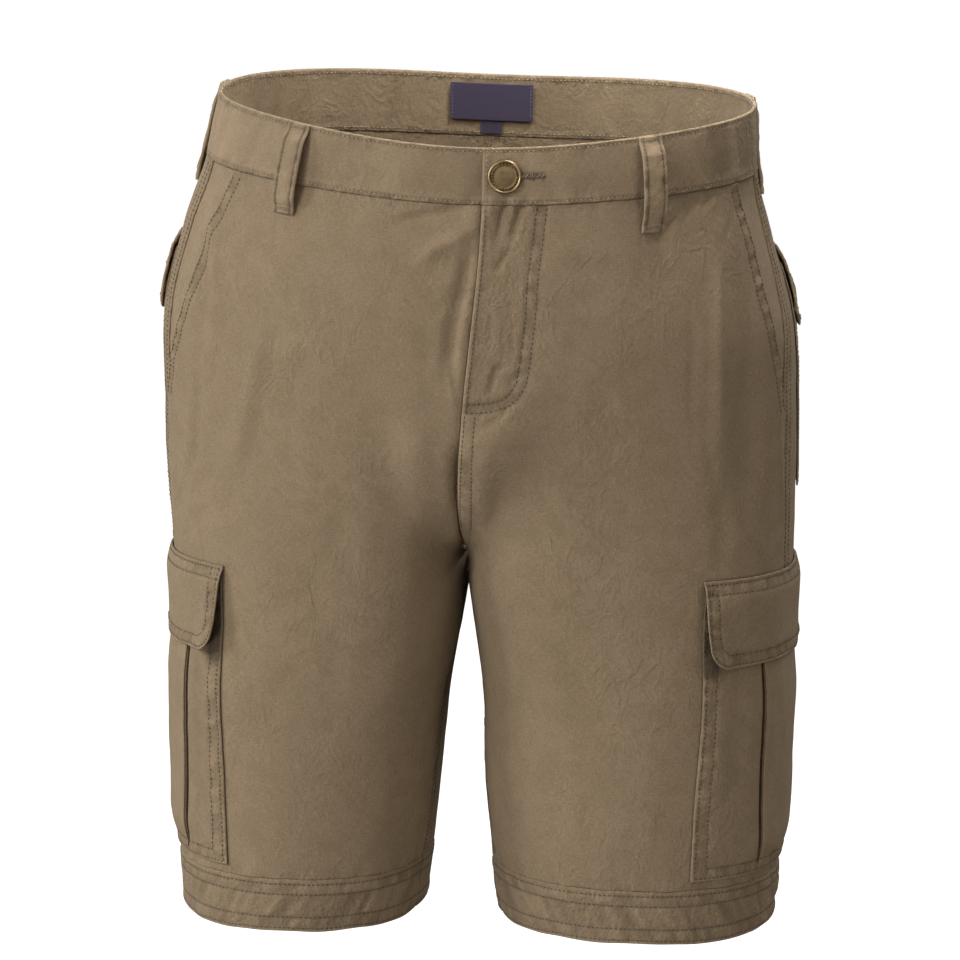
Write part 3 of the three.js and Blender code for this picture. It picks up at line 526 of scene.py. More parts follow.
def ticks(length, fine, coarse, first=0.0, last=0.0):
    """Distances from 0 to length: fine steps within first and last of the ends, coarse between, and a close pair at each end."""
    out, x = [0.0, 0.45, 1.0], 1.0
    while x < length - 1.0:
        near = min(max(0, x - first), max(0, length - last - x))
        x += min(coarse, fine + near * 0.18)
        out.append(x)
    out = [v for v in out if v < length - 1.25] + [length - 1.0, length - 0.45, length]
    return np.array(out)


# ------------------------------------------------------------------ materials
def nodes_of(name):
    m = bpy.data.materials.new(name)
    m.use_nodes = True
    t = m.node_tree
    for n in list(t.nodes):
        t.nodes.remove(n)
    return m, t


class Net:
    def __init__(self, name):
        self.m, self.t = nodes_of(name)

    def add(self, kind, inputs=None, **props):
        n = self.t.nodes.new(kind)
        for k, v in props.items():
            setattr(n, k, v)
        for k, v in (inputs or {}).items():
            if isinstance(v, bpy.types.NodeSocket):
                self.t.links.new(v, n.inputs[k])
            else:
                n.inputs[k].default_value = v
        return n

    def math(self, op, a, b=0.0, clamp=False):
        return self.add("ShaderNodeMath", {0: a, 1: b}, operation=op, use_clamp=clamp).outputs[0]

    def attr(self, name, out="Fac"):
        return self.add("ShaderNodeAttribute", attribute_name=name, attribute_type="GEOMETRY").outputs[out]

    def noise(self, vector, scale, detail=2.0, rough=0.5, distortion=0.0):
        return self.add("ShaderNodeTexNoise", {"Vector": vector, "Scale": scale, "Detail": detail, "Roughness": rough, "Distortion": distortion}).outputs["Fac"]

    def scaled(self, vector, scale):
        return self.add("ShaderNodeVectorMath", {0: vector, 1: scale}, operation="MULTIPLY").outputs[0]

    def blend(self, a, b, fac, how="MIX"):
        n = self.add("ShaderNodeMix", data_type="RGBA", blend_type=how)
        for key, v in (("Factor", fac), ("A", a), ("B", b)):
            sock = next(s for s in n.inputs if s.name == key and s.enabled)
            if isinstance(v, bpy.types.NodeSocket):
                self.t.links.new(v, sock)
            else:
                sock.default_value = v
        return next(s for s in n.outputs if s.enabled)

    def ramp(self, fac, stops):
        n = self.add("ShaderNodeValToRGB", {"Fac": fac})
        e = n.color_ramp.elements
        while len(e) < len(stops):
            e.new(0.5)
        for x, (p, c) in zip(e, stops):
            x.position, x.color = p, c
        return n.outputs["Color"]

    def bump(self, height, distance, strength=1.0, below=None):
        ins = {"Height": height, "Distance": distance, "Strength": strength}
        if below is not None:
            ins["Normal"] = below
        return self.add("ShaderNodeBump", ins).outputs["Normal"]

    def surface(self, **sockets):
        b = self.add("ShaderNodeBsdfPrincipled", sockets.pop("inputs"))
        o = self.add("ShaderNodeOutputMaterial")
        self.t.links.new(b.outputs["BSDF"], o.inputs["Surface"])
        return self.m


def rgb(r, g, b, k=1.0):
    return (r * k, g * k, b * k, 1.0)


def twill(name, base, sheen=0.035, wash=1.0, rib=0.62):
    """Garment-washed cotton twill: fine diagonal ribs, slubs both ways, a mottled wash, and paler ridges along the
    seams, partly wash wear and partly painted highlight, with painted shade in the grooves and hollows that the tone
    attribute marks.
    """
    n = Net(name)
    st = n.attr("st", "Vector")
    where = n.add("ShaderNodeTexCoord").outputs["Object"]
    tone, seam = n.attr("tone"), n.attr("seam")
    # diagonal ribs, about rib mm apart
    sep = n.add("ShaderNodeSeparateXYZ", {0: st})
    k = 2 * pi / (rib * MM)
    warp = n.noise(n.scaled(st, (160, 160, 160)), 1.0, 2)
    slope = n.math("ADD", n.math("MULTIPLY", sep.outputs["X"], k * 0.83), n.math("MULTIPLY", sep.outputs["Y"], k * 0.56))
    ribs = n.math("SINE", n.math("ADD", slope, n.math("MULTIPLY", warp, 5.0)))
    cross = n.noise(n.scaled(st, (330, 1150, 1)), 1.0, 3, 0.65)   # weft slubs
    length = n.noise(n.scaled(st, (1250, 300, 1)), 1.0, 3, 0.65)  # warp slubs
    grain = n.noise(where, 1900, 3, 0.7)
    wide = n.noise(where, 21, 3, 0.55, 0.3)
    middle = n.noise(where, 85, 3, 0.6)
    # colour
    c = n.blend(rgb(*base, 0.94), rgb(*base, 1.06), n.ramp(wide, [(0.3, (0, 0, 0, 1)), (0.7, (1, 1, 1, 1))]))
    c = n.blend(c, rgb(base[0] * 0.90, base[1] * 0.89, base[2] * 0.85), n.ramp(middle, [(0.42, (0, 0, 0, 1)), (0.60, (0.8, 0.8, 0.8, 1))]))
    grainy = n.math("ADD", n.math("MULTIPLY", n.math("ADD", cross, length), 0.3), n.math("MULTIPLY", grain, 0.4))
    c = n.blend(c, rgb(*base, 0.66), n.math("MULTIPLY", n.math("SUBTRACT", 0.487, grainy), 8.0, clamp=True))
    c = n.blend(c, rgb(*base, 1.36), n.math("MULTIPLY", n.math("SUBTRACT", grainy, 0.513), 7.0, clamp=True))
    # the tone attribute lightens and darkens the cloth: wash wear on edges, the relief's ridges and hollows partly wear
    # and partly painted light and shade, and painted shade in stitch grooves, slits and under the flaps
    up = n.math("MULTIPLY", tone, 0.55 * wash, clamp=True)
    down = n.math("MULTIPLY", tone, -0.75 * wash, clamp=True)
    c = n.blend(c, rgb(base[0] * 1.5, base[1] * 1.52, base[2] * 1.55), up)
    c = n.blend(c, rgb(base[0] * 0.42, base[1] * 0.42, base[2] * 0.42), down)
    # relief
    crinkle = n.noise(n.scaled(where, (1, 1, 0.8)), 240, 3, 0.6)
    # creases set by washing: thin wandering lines, in patches
    lines_ = n.math("ABSOLUTE", n.math("SUBTRACT", n.noise(n.scaled(where, (1, 1, 0.75)), 62, 3, 0.55, 0.6), 0.5))
    patch = n.ramp(n.noise(where, 17, 2, 0.5), [(0.42, (0.12, 0.12, 0.12, 1)), (0.62, (1, 1, 1, 1))])
    creased = n.math("MULTIPLY", n.math("SUBTRACT", 1.0, n.math("MULTIPLY", lines_, 11.0, clamp=True)), patch)
    fine = n.bump(n.math("ADD", n.math("MULTIPLY", ribs, 0.4), n.math("MULTIPLY", grainy, 3.2)), 0.00016, 0.8)
    thin = n.bump(creased, 0.0009, 0.42, fine)
    soft = n.bump(crinkle, 0.0052, n.math("ADD", n.math("MULTIPLY", n.math("MULTIPLY", seam, seam), 0.44), 0.07), thin)
    rough = n.math("ADD", n.math("MULTIPLY", grain, 0.12), 0.80)
    return n.surface(inputs={
        "Base Color": c, "Roughness": rough, "Normal": soft, "Specular IOR Level": 0.22,
        "Sheen Weight": sheen, "Sheen Roughness": 0.5, "Sheen Tint": rgb(0.9, 0.86, 0.78)})


def thread(name, base, rough=0.62):
    n = Net(name)
    tone = n.attr("tone")
    along = n.attr("st", "Vector")
    sep = n.add("ShaderNodeSeparateXYZ", {0: along})
    ply = n.math("SINE", n.math("ADD", n.math("MULTIPLY", sep.outputs["X"], 2 * pi / 0.00055), n.math("MULTIPLY", sep.outputs["Y"], 9.0)))
    # colour from the tone: painted shade at each stitch's ends, painted highlight on its crown, and random from stitch
    # to stitch
    c = n.ramp(n.math("MULTIPLY", n.math("ADD", tone, 1.0), 0.5), [(0.0, rgb(*base, 0.12)), (0.34, rgb(*base, 0.5)), (0.62, rgb(*base, 1.0)), (1.0, rgb(*base, 1.35))])
    # darker in the hollows of the ply's twist: painted shade
    c = n.blend(c, rgb(*base, 0.6), n.math("MULTIPLY", n.math("SUBTRACT", 0.4, ply, clamp=True), 0.25))
    return n.surface(inputs={"Base Color": c, "Roughness": rough, "Normal": n.bump(ply, 0.00008, 0.7), "Sheen Weight": 0.1, "Specular IOR Level": 0.35})


TWILL = (0.262, 0.196, 0.126)
MATERIAL = {
    "twill": twill("twill", TWILL),
    "inside": twill("twill_inside", tuple(v * 1.04 for v in TWILL), wash=0.8),
    "thread": thread("thread_tonal", tuple(v * 0.34 for v in TWILL)),
    "light": thread("thread_light", (0.36, 0.28, 0.185)),
    "dark": thread("thread_dark", tuple(v * 0.62 for v in TWILL)),
}


def woven(name, base):
    """Damask label tape: close horizontal picks over fine warp."""
    n = Net(name)
    st = n.attr("st", "Vector")
    sep = n.add("ShaderNodeSeparateXYZ", {0: st})
    picks = n.math("SINE", n.math("MULTIPLY", sep.outputs["Y"], 2 * pi / 0.00042))
    ends = n.math("SINE", n.math("MULTIPLY", sep.outputs["X"], 2 * pi / 0.00055))
    speck = n.noise(n.scaled(st, (2200, 1300, 1)), 1.0, 2, 0.7)
    c = n.blend(rgb(*base, 0.75), rgb(*base, 1.35), speck)
    c = n.blend(c, rgb(base[0] * 2.1, base[1] * 2.0, base[2] * 1.9), n.math("MULTIPLY", n.attr("tone"), 0.6, clamp=True))
    h = n.math("ADD", n.math("MULTIPLY", picks, 0.6), n.math("ADD", n.math("MULTIPLY", ends, 0.3), speck))
    return n.surface(inputs={"Base Color": c, "Roughness": 0.62, "Normal": n.bump(h, 0.00009, 0.8), "Sheen Weight": 0.15, "Specular IOR Level": 0.35})


def brass(name):
    """Antique brass: bright on the high parts, brown in the hollows, finely pitted."""
    n = Net(name)
    where = n.add("ShaderNodeTexCoord").outputs["Object"]
    pits = n.noise(where, 1500, 3, 0.65)
    patch = n.noise(where, 320, 2)
    tone = n.attr("tone")
    high = n.math("ADD", n.math("MULTIPLY", tone, 0.8), n.math("MULTIPLY", n.math("SUBTRACT", patch, 0.5), 0.7), clamp=True)
    c = n.blend(rgb(0.085, 0.055, 0.028), rgb(0.52, 0.375, 0.205), high)
    rough = n.math("ADD", n.math("MULTIPLY", n.math("SUBTRACT", 1.0, high), 0.28), n.math("ADD", n.math("MULTIPLY", pits, 0.12), 0.22))
    return n.surface(inputs={"Base Color": c, "Metallic": 1.0, "Roughness": rough, "Normal": n.bump(pits, 0.00009, 0.6)})


MATERIAL["bar"] = thread("thread_bar", tuple(v * 0.72 for v in TWILL))
MATERIAL["label"] = woven("label_tape", (0.040, 0.029, 0.062))
MATERIAL["tape"] = woven("zip_tape", (0.17, 0.13, 0.085))
MATERIAL["purl"] = thread("thread_label", (0.20, 0.165, 0.26))
MATERIAL["brass"] = brass("antique_brass")

# ------------------------------------------------------------------ rows of stitches
lines = {}   # stitch piece -> list of (points, normals)


def sew(group, piece, s, z, inner=False, every=1.1):
    """A row of stitches on a piece, along a path given by distance and level."""
    s, z = np.asarray(s, float), np.asarray(z, float)
    P, _ = piece.point(s, z, inner)
    d = np.concatenate([[0], np.cumsum(np.linalg.norm(np.diff(P, axis=0), axis=1))])
    n = max(3, int(d[-1] / every))
    t = np.linspace(0, d[-1], n)
    P, N = piece.point(np.interp(t, d, s), np.interp(t, d, z), inner)
    lines.setdefault(group, []).append((P, N))


RING = np.array([[cos(a), sin(a)] for a in np.arange(5) * 2 * pi / 5])


def build_stitches(group, material, radius=STITCH["radius"], length=STITCH["length"], gap=STITCH["gap"], seed=1):
    r = np.random.RandomState(seed)
    verts, tris, quads, st, tone = [], [], [], [], []
    base = 0
    for P, N in lines.get(group, []):
        d = np.concatenate([[0], np.cumsum(np.linalg.norm(np.diff(P, axis=0), axis=1))])
        n = max(1, int(d[-1] / (length + gap)))
        pitch = d[-1] / n
        a = (np.arange(n) + 0.5) * pitch
        a = a + r.uniform(-0.12, 0.12, n)
        half = (pitch - gap) / 2
        along = np.array([-1.0, -0.66, 0.0, 0.66, 1.0])
        size = np.array([0.0, 0.82, 1.0, 0.82, 0.0])
        rise = np.array([-1.0, 0.05, 0.42, 0.05, -1.0])
        t = a[:, None] + along * half
        C = np.stack([np.interp(t, d, P[:, k]) for k in range(3)], -1)
        M = unit(np.stack([np.interp(t, d, N[:, k]) for k in range(3)], -1))
        T = unit(C[:, -1] - C[:, 0])[:, None, :]
        side = unit(np.cross(np.broadcast_to(T, M.shape), M))
        lean = r.uniform(-0.14, 0.14, (n, 1, 1)) * along[None, :, None]
        C = C + M * (rise * radius)[None, :, None] + side * lean
        rings = C[:, 1:4, None, :] + radius * size[None, 1:4, None, None] * (RING[:, 0][None, None, :, None] * side[:, 1:4, None, :] + 0.9 * RING[:, 1][None, None, :, None] * M[:, 1:4, None, :])
        v = np.concatenate([C[:, :1], rings.reshape(n, 15, 3), C[:, 4:]], 1)   # 17 points a stitch
        verts.append(v.reshape(-1, 3))
        k = np.arange(5)
        k2 = (k + 1) % 5
        cap0 = np.stack([np.zeros(5, int), 1 + k, 1 + k2], -1)
        cap1 = np.stack([np.full(5, 16), 11 + k2, 11 + k], -1)
        band = np.concatenate([np.stack([1 + 5 * j + k, 6 + 5 * j + k, 6 + 5 * j + k2, 1 + 5 * j + k2], -1) for j in range(2)])
        off = base + 17 * np.arange(n)[:, None, None]
        tris.append((np.concatenate([cap0, cap1])[None] + off).reshape(-1, 3))
        quads.append((band[None] + off).reshape(-1, 4))
        base += 17 * n
        shade = np.clip(0.5 + (0.5 if group == "buttonhole" else 0.28) * r.randn(n), -0.2, 1.3)
        # each stitch darker at its ends, painted shade where it dips into the cloth, and paler on its crown, a painted
        # highlight
        ends = np.concatenate([[-1.6], np.repeat([-0.55, 0.25, -0.55], 5), [-1.6]])
        tone.append((shade[:, None] + ends[None, :]).ravel())
        x = np.concatenate([along[:1], np.repeat(along[1:4], 5), along[4:]]) * half
        y = np.concatenate([[0], np.tile(k / 5, 3), [0]])
        st.append(np.stack([np.tile(x * MM, n), np.tile(y, n), np.zeros(17 * n)], -1))
    if not verts:
        return None
    verts = np.concatenate(verts)
    quads, tris = np.concatenate(quads), np.concatenate(tris)
    a, b, c = (verts[tris[:, k]] for k in range(3))
    e, f, g, h = (verts[quads[:, k]] for k in range(4))
    vol = np.einsum("ij,ij->", a, np.cross(b, c)) + np.einsum("ij,ij->", e, np.cross(f, g)) + np.einsum("ij,ij->", e, np.cross(g, h))
    if vol < 0:
        quads, tris = quads[:, ::-1], tris[:, ::-1]
    obj = mesh_object(group, verts, [quads, tris], material, {"st": np.concatenate(st), "tone": np.concatenate(tone)})
    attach(obj, body)
    return obj


pieces = {}


def distances(side, D, s):
    """Distances from the front and back edges, from the side seam's."""
    return s - D[:, :1], D[:, -1:] - s


def place(side, u, z, d):
    return cloth(side, u, z) + normal(side, u, z) * d[..., None]


# ------------------------------------------------------------------ panels
def panel_rows(rise, step_mm):
    top, bottom = Z_BAND - GAP / 2, Z_HEMBAND - 2.6
    low = np.linspace(bottom, Z_CROTCH, int((Z_CROTCH - bottom) / step_mm) + 1)
    k = 26
    seat = Z_CROTCH + 40 * (1 - np.cos(np.linspace(0, 1, k) * pi / 2))
    high = Z_CROTCH + 40 + ticks(top - Z_CROTCH - 40, 1.3, step_mm, 0, 12)
    high = high[high > Z_CROTCH + 40 + step_mm * 0.8]
    rows = np.concatenate([low[:-1], seat, high])
    return np.concatenate([[bottom, bottom + 0.6, bottom + 1.4, bottom + 2.1, bottom + 2.45, bottom + 2.9, bottom + 3.6, bottom + 4.6], rows[rows > bottom + 5.6]])


def behind_hem(z):
    """How far a panel's end steps in behind the hem band."""
    return 1.75 * step(Z_HEMBAND + 0.3, Z_HEMBAND - 0.2, z)


def mouth(z):
    return np.where(z > -168, np.minimum(0, through(MOUTH, "s", z)), 0.0)


J_OUTER = columns("z c", (-20, 39.2), (-22.6, 38.6), (-62.5, 36.4), (-93, 37.7), (-122, 37.4), (-136, 36.7), (-146, 32.5), (-152, 26.8), (-155.6, 16), (-156.6, 8), (-157, 0))

for side in (1, -1):
    hand = "left" if side > 0 else "right"

    # front panel
    Z = panel_rows(RISE_FRONT, 2.05)
    D = arcs(side, Z)
    ref = 215.0
    A = ticks(ref, 1.35, 2.6, 44 if side > 0 else 12, 17) / ref
    edge0 = D[:, 0] + (0.06 if side > 0 else 0.06)
    edge1 = mouth(Z) - 0.06
    u0 = u_at(side, edge0[:, None], Z, D)
    u1 = u_at(side, edge1[:, None], Z, D)
    u = mix(u0, u1, A[None, :])
    s = np.stack([np.interp(r, UU, d) for r, d in zip(u, D)])
    zz = np.broadcast_to(Z[:, None], u.shape)
    front, back = distances(side, D, s)
    P = cloth(side, u, zz)
    N = normal(side, u, zz)
    base = folds(side, s, front, back, P)
    toMouth = np.where(zz > -166, edge1[:, None] - s, 1e3)
    toSide = np.where(zz <= -166, -s, 1e3)
    below = Z_BAND - zz
    above = zz - Z_HEMBAND
    h = np.zeros_like(s)
    # slanted pocket: two rows, ridges between them, and the edge standing a little proud
    h += ladder(zz, toMouth, ROW, ROW + TWIN, 4.6, 0.85, 0.35, 1 if side > 0 else 3)
    h += groove(toMouth, ROW, 0.3) + groove(toMouth, ROW + TWIN, 0.34)
    lip = 0.75 * np.exp(-((toMouth / 9.0) ** 2))
    # side seam below the pocket
    h += gathers(zz, toSide, 0.42, 7.5, 7.0, 12)
    turn_in = -1.1 * np.exp(-((toSide / 1.3) ** 2))
    # under the waistband and over the hem
    h += gathers(s, below, 0.5, 8.0, 7.0, 14) * step(2.0, 0.5, -toMouth * 0)
    h += gathers(s + zz * 0.5, above, 0.6, 7.5, 8.0, 15)
    crotch = step(-160, -172, zz) * (zz > Z_CROTCH)
    leg = zz <= Z_CROTCH
    inseam = np.where(leg, front, 1e3)
    h += gathers(zz, inseam, 0.7, 9.0, 9.0, 17)
    if side > 0:
        jc = np.interp(zz, J_OUTER["z"], J_OUTER["c"])
        fly = (zz > -160)
        # distance to the two J rows, as a path
        path = np.array([(c, z) for z, c in zip(J_OUTER["z"], J_OUTER["c"])])
        flat_pts = np.stack([front, zz], -1)
        def to_path(x, z, pts):
            best = np.full(x.shape, 1e9)
            for a, b in zip(pts[:-1], pts[1:]):
                n = np.hypot(*(b - a))
                d = (b - a) / n
                t = np.clip((x - a[0]) * d[0] + (z - a[1]) * d[1], 0, n)
                best = np.minimum(best, np.hypot(x - a[0] - t * d[0], z - a[1] - t * d[1]))
            return best
        dj = to_path(front, zz, path)
        inside = (front < jc) & (zz > -156.8)
        signed = np.where(inside, dj, -dj)
        h += -0.42 * np.exp(-((signed / 1.5) ** 2)) - 0.36 * np.exp(-(((signed - 6.2) / 1.5) ** 2))
        h += 0.8 * step(-0.5, 1.4, signed) * step(7.2, 5.2, signed) * (wave(zz / 4.3 + front / 9, 21) - 0.3)
        h += 0.30 * np.exp(-np.maximum(-signed, 0) / 6) * (signed < 0) * wave(zz / 9.0, 22)
        # the overlap's folded edge
        base = base + 1.05 * np.exp(-np.maximum(front - 1.0, 0) / 7.0) * step(-168, -156, zz)
        # crotch seam: two rows beside the edge
        cs = step(-150, -160, zz) * (zz > Z_CROTCH + 3)
        h += cs * (ladder(zz, front, ROW, ROW + TWIN, 4.6, 0.75, 0.4, 24) + groove(front, ROW) + groove(front, ROW + TWIN))
        turn_front = -1.0 * np.exp(-((front / 1.1) ** 2)) * mix(0.35, 1, 1 - step(-168, -156, zz))
    else:
        turn_front = -1.1 * np.exp(-((front / 2.2) ** 2))
        h += gathers(zz, np.where(leg, 1e3, front), 0.35, 11.0, 6.0, 26)
    total = base + h + lip + turn_in + turn_front - behind_hem(zz)
    # colour from the relief: lighter on ridges, darker in hollows, partly wash wear and partly painted light and shade;
    # paler fold edges from wear, painted shade along the stitch grooves, darker between the twin rows
    tone = np.clip(h / 0.8, -1, 1) * 0.4
    tone += 0.55 * np.exp(-((toMouth / 0.9) ** 2)) + 0.16 * np.exp(-((toSide / 2.4) ** 2)) + 0.2 * np.exp(-((inseam / 2.4) ** 2))
    tone += stitch_groove_shade(toMouth) + strip(toMouth, 0.16)
    if side > 0:
        # the fly's folded edge is paler from wear; the dark line along its row of stitches and the dark lines along the
        # J's rows are painted shade in their grooves
        at_edge = front + 1e3 * (zz < Z_CROTCH + 4)
        tone += 0.6 * np.exp(-((at_edge / 1.2) ** 2)) - 0.5 * np.exp(-(((at_edge - 2.8) / 0.9) ** 2)) * (zz > -160) + cs * (stitch_groove_shade(front) + strip(front, 0.2))
        tone += -0.16 * np.exp(-((signed / 0.8) ** 2)) - 0.16 * np.exp(-(((signed - 6.2) / 0.8) ** 2)) - 0.06 * step(-0.2, 0.8, signed) * step(6.6, 5.6, signed)
    seam = np.clip(np.exp(-toMouth / 9) + np.exp(-toSide / 9) + np.exp(-np.maximum(below, 0) / 9) + np.exp(-np.maximum(above, 0) / 9) + np.exp(-inseam / 9), 0, 1)
    if side > 0:
        seam = np.clip(seam + 0.8 * step(44, 34, front) * (zz > -162), 0, 1)
    outer = P + N * total[..., None]
    inner = P + N * (total - CLOTH - 0.12 * step(6, 0, toMouth))[..., None]
    p = pieces["front_panel_" + hand] = Piece("front_panel_" + hand, s, Z, outer, inner, tone, seam)
    p.edge0, p.edge1, p.D = edge0, edge1, D
    p.build(MATERIAL["twill"], "twill", (0.300, 0.440), area=0.103, held="stretched", rests_on=["waistband"])

    # back panel
    Z = panel_rows(RISE_BACK, 2.9)
    D = arcs(side, Z)
    ref = 310.0
    A = ticks(ref, 1.7, 4.4, 12, 12) / ref
    edge0 = np.full(len(Z), 0.06)
    edge1 = D[:, -1] - 0.06
    u = mix(u_at(side, edge0[:, None], Z, D), u_at(side, edge1[:, None], Z, D), A[None, :])
    s = np.stack([np.interp(r, UU, d) for r, d in zip(u, D)])
    zz = np.broadcast_to(Z[:, None], u.shape)
    front, back = distances(side, D, s)
    P = cloth(side, u, zz)
    N = normal(side, u, zz)
    base = folds(side, s, front, back, P)
    below, above = Z_BAND - zz, zz - Z_HEMBAND
    leg = zz <= Z_CROTCH
    seat_edge = np.where(leg, 1e3, back)
    inseam = np.where(leg, back, 1e3)
    h = ladder(zz, s, ROW, ROW + TWIN, 5.5, 0.40, 0.4, 31 + side) + groove(s, ROW, 0.3) + groove(s, ROW + TWIN, 0.3)
    if side > 0:
        h += ladder(zz, seat_edge, ROW, ROW + TWIN, 5.5, 0.45, 0.4, 34) + groove(seat_edge, ROW) + groove(seat_edge, ROW + TWIN)
    else:
        h += gathers(zz, seat_edge, 0.45, 8.0, 7.0, 35)
    h += gathers(s, below, 0.5, 8.0, 7.0, 36 + side) + gathers(s + zz * 0.5, above, 0.6, 7.5, 8.0, 38 + side)
    h += ladder(zz, inseam, ROW, ROW + TWIN, 7.0, 0.75, 0.5, 40 + side) + groove(inseam, ROW) + groove(inseam, ROW + TWIN)
    total = base + h - 1.0 * np.exp(-((s / 1.2) ** 2)) - 1.0 * np.exp(-((seat_edge / 1.2) ** 2)) - 0.9 * np.exp(-((inseam / 1.3) ** 2)) - behind_hem(zz)
    # colour from the relief, partly wash wear and partly painted light and shade; paler seam edges from wear, painted
    # shade along the stitch grooves, darker between the twin rows
    tone = np.clip(h / 0.8, -1, 1) * 0.4 + 0.3 * np.exp(-((s / 1.6) ** 2)) + 0.2 * np.exp(-((back / 2.4) ** 2)) + stitch_groove_shade(s) + strip(s, 0.15) + stitch_groove_shade(inseam) + strip(inseam, 0.15) + (side > 0) * (stitch_groove_shade(seat_edge) + strip(seat_edge, 0.15))
    seam = np.clip(np.exp(-s / 9) + np.exp(-np.maximum(below, 0) / 9) + np.exp(-np.maximum(above, 0) / 9) + np.exp(-back / 9), 0, 1)
    # the two backs are sewn edge to edge: their edges stay in the plane of the seat seam
    closed = N.copy()
    closed[..., 0] *= 1 - np.exp(-((seat_edge / 3.0) ** 2))
    outer, inner = P + closed * total[..., None], P + closed * (total - CLOTH)[..., None]
    p = pieces["back_panel_" + hand] = Piece("back_panel_" + hand, s, Z, outer, inner, tone, seam)
    p.D = D
    p.build(MATERIAL["twill"], "twill", (0.376, 0.450), area=0.147, held="stretched", rests_on=["waistband"])

    # facing behind the slanted mouth
    Z = np.linspace(FACING["bottom"], Z_BAND - GAP / 2, 62)
    D = arcs(side, Z)
    lo, hi = mouth(Z) - FACING["under"], np.full(len(Z), -GAP / 2)
    s = mix(lo[:, None], hi[:, None], np.linspace(0, 1, 26)[None, :])
    u = u_at(side, s, Z, D)
    zz = np.broadcast_to(Z[:, None], u.shape)
    front, back = distances(side, D, s)
    P, N = cloth(side, u, zz), normal(side, u, zz)
    total = folds(side, s, front, back, P) - CLOTH - FACING["behind"] + gathers(zz, -s, 0.3, 7, 6, 44)
    p = pieces["front_pocket_facing_" + hand] = Piece("front_pocket_facing_" + hand, s, Z, P + N * total[..., None], P + N * (total - CLOTH)[..., None], seam=np.exp(s / 12))
    p.build(MATERIAL["inside"], "twill_inside", (0.057, 0.154), area=0.0063, held="laid", rests_on=["front_panel_" + hand])

    # hem band, a closed ring
    n = 480
    Z = np.array([0, .45, 1.0, 2.0, 3.2, 4.6, 6.2, 8.0, 9.5, 11, 12.8, 14.6, 16.6, 18.6, 20.8, 23, 24.5, 26, 27.8, 29.6, 31, 32.2, 33.0, 33.6, 34.0]) + Z_HEM
    u = np.broadcast_to((np.arange(n) / n)[None, :], (len(Z), n))
    D = arcs(side, Z)
    s = np.stack([np.interp(r, UU, d) for r, d in zip(u, D)])
    zz = np.broadcast_to(Z[:, None], u.shape)
    front, back = distances(side, D, s)
    P, N = cloth(side, u, zz), normal(side, u, zz)
    near_inseam = np.minimum(front, back)
    base = folds(side, s, front, back, P)
    up = zz - Z_HEM
    # the ring's own distance, so the ridges close up on themselves
    turns = front / (front + back)
    ripple = lambda count, seed, slant=0.0: wave_ring(turns * count + slant * up / 34.0, count, seed)

    def wave_ring(x, count, seed):
        i = np.floor(x).astype(int)
        t = x - i
        t = t * t * (3 - 2 * t)
        row = STRING[seed % 64]
        return mix(row[(i % count) % 512], row[((i + 1) % count) % 512], t)
    h = 0.75 * step(1.0, 3.5, up) * step(10.6, 8.4, up) * (ripple(118, 50, 2.4) - 0.15)
    h += 0.85 * step(9.0, 12.0, up) * step(25.2, 22.0, up) * (0.6 * ripple(70, 51, 3.0) + 0.65 * ripple(136, 52, 3.6))
    h += 0.75 * step(24.0, 26.0, up) * step(32.4, 30.4, up) * (ripple(112, 53, 2.2) - 0.15)
    h += 0.5 * np.exp(-np.abs(s) / 6) * wave(up / 7, 54) + 0.7 * np.exp(-near_inseam / 7) * wave(up / 7.5, 55)
    for at, dep in ((2.0, 0.34), (9.5, 0.36), (24.5, 0.36), (31.0, 0.34)):
        h += groove(up, at, dep, 0.9)
    hang = 0.9 * wave_ring(turns * 26, 26, 56) * step(20, 0, up)
    total = base + h + HEM["out"] - 0.62 * np.exp(-(((34 - up) / 2.0) ** 2))
    # colour from the relief, partly wash wear and partly painted light and shade; the folded foot paler from wear,
    # darker along the side seam and inseam
    tone = np.clip(h / 0.8, -1, 1) * 0.4 - 0.05 + 0.55 * np.exp(-((up / 1.1) ** 2)) + 0.12 * np.exp(-(((34 - up) / 1.0) ** 2)) + 0.2 * np.exp(-((s / 2) ** 2)) - 0.6 * np.exp(-((s / 0.8) ** 2)) - 0.5 * np.exp(-((near_inseam / 0.8) ** 2))
    # painted shade along the four rows of stitches
    for at in (2.0, 9.5, 24.5, 31.0):
        tone = tone - 0.2 * np.exp(-(((up - at) / 0.8) ** 2))
    total = total - 0.7 * np.exp(-((s / 0.9) ** 2)) - 0.7 * np.exp(-((near_inseam / 0.9) ** 2))
    outer = P + N * total[..., None]
    inner = P + N * (base + HEM["out"] - HEM["thick"] + h * 0.3)[..., None]
    outer[..., 2] += hang
    inner[..., 2] += hang
    p = pieces["hem_band_" + hand] = Piece("hem_band_" + hand, s, Z, outer, inner, tone, np.ones_like(s) * 0.9, ring=True, rim=0.5)
    p.D = D
    p.build(MATERIAL["twill"], "twill", (0.570, 0.034), held="stretched", rests_on=["front_panel_" + hand, "back_panel_" + hand])

# ------------------------------------------------------------------ waistband
def band_u(side, c, z, D):
    """u at distances c from the centre front."""
    return u_at(side, D[:, :1] + c, z, D)


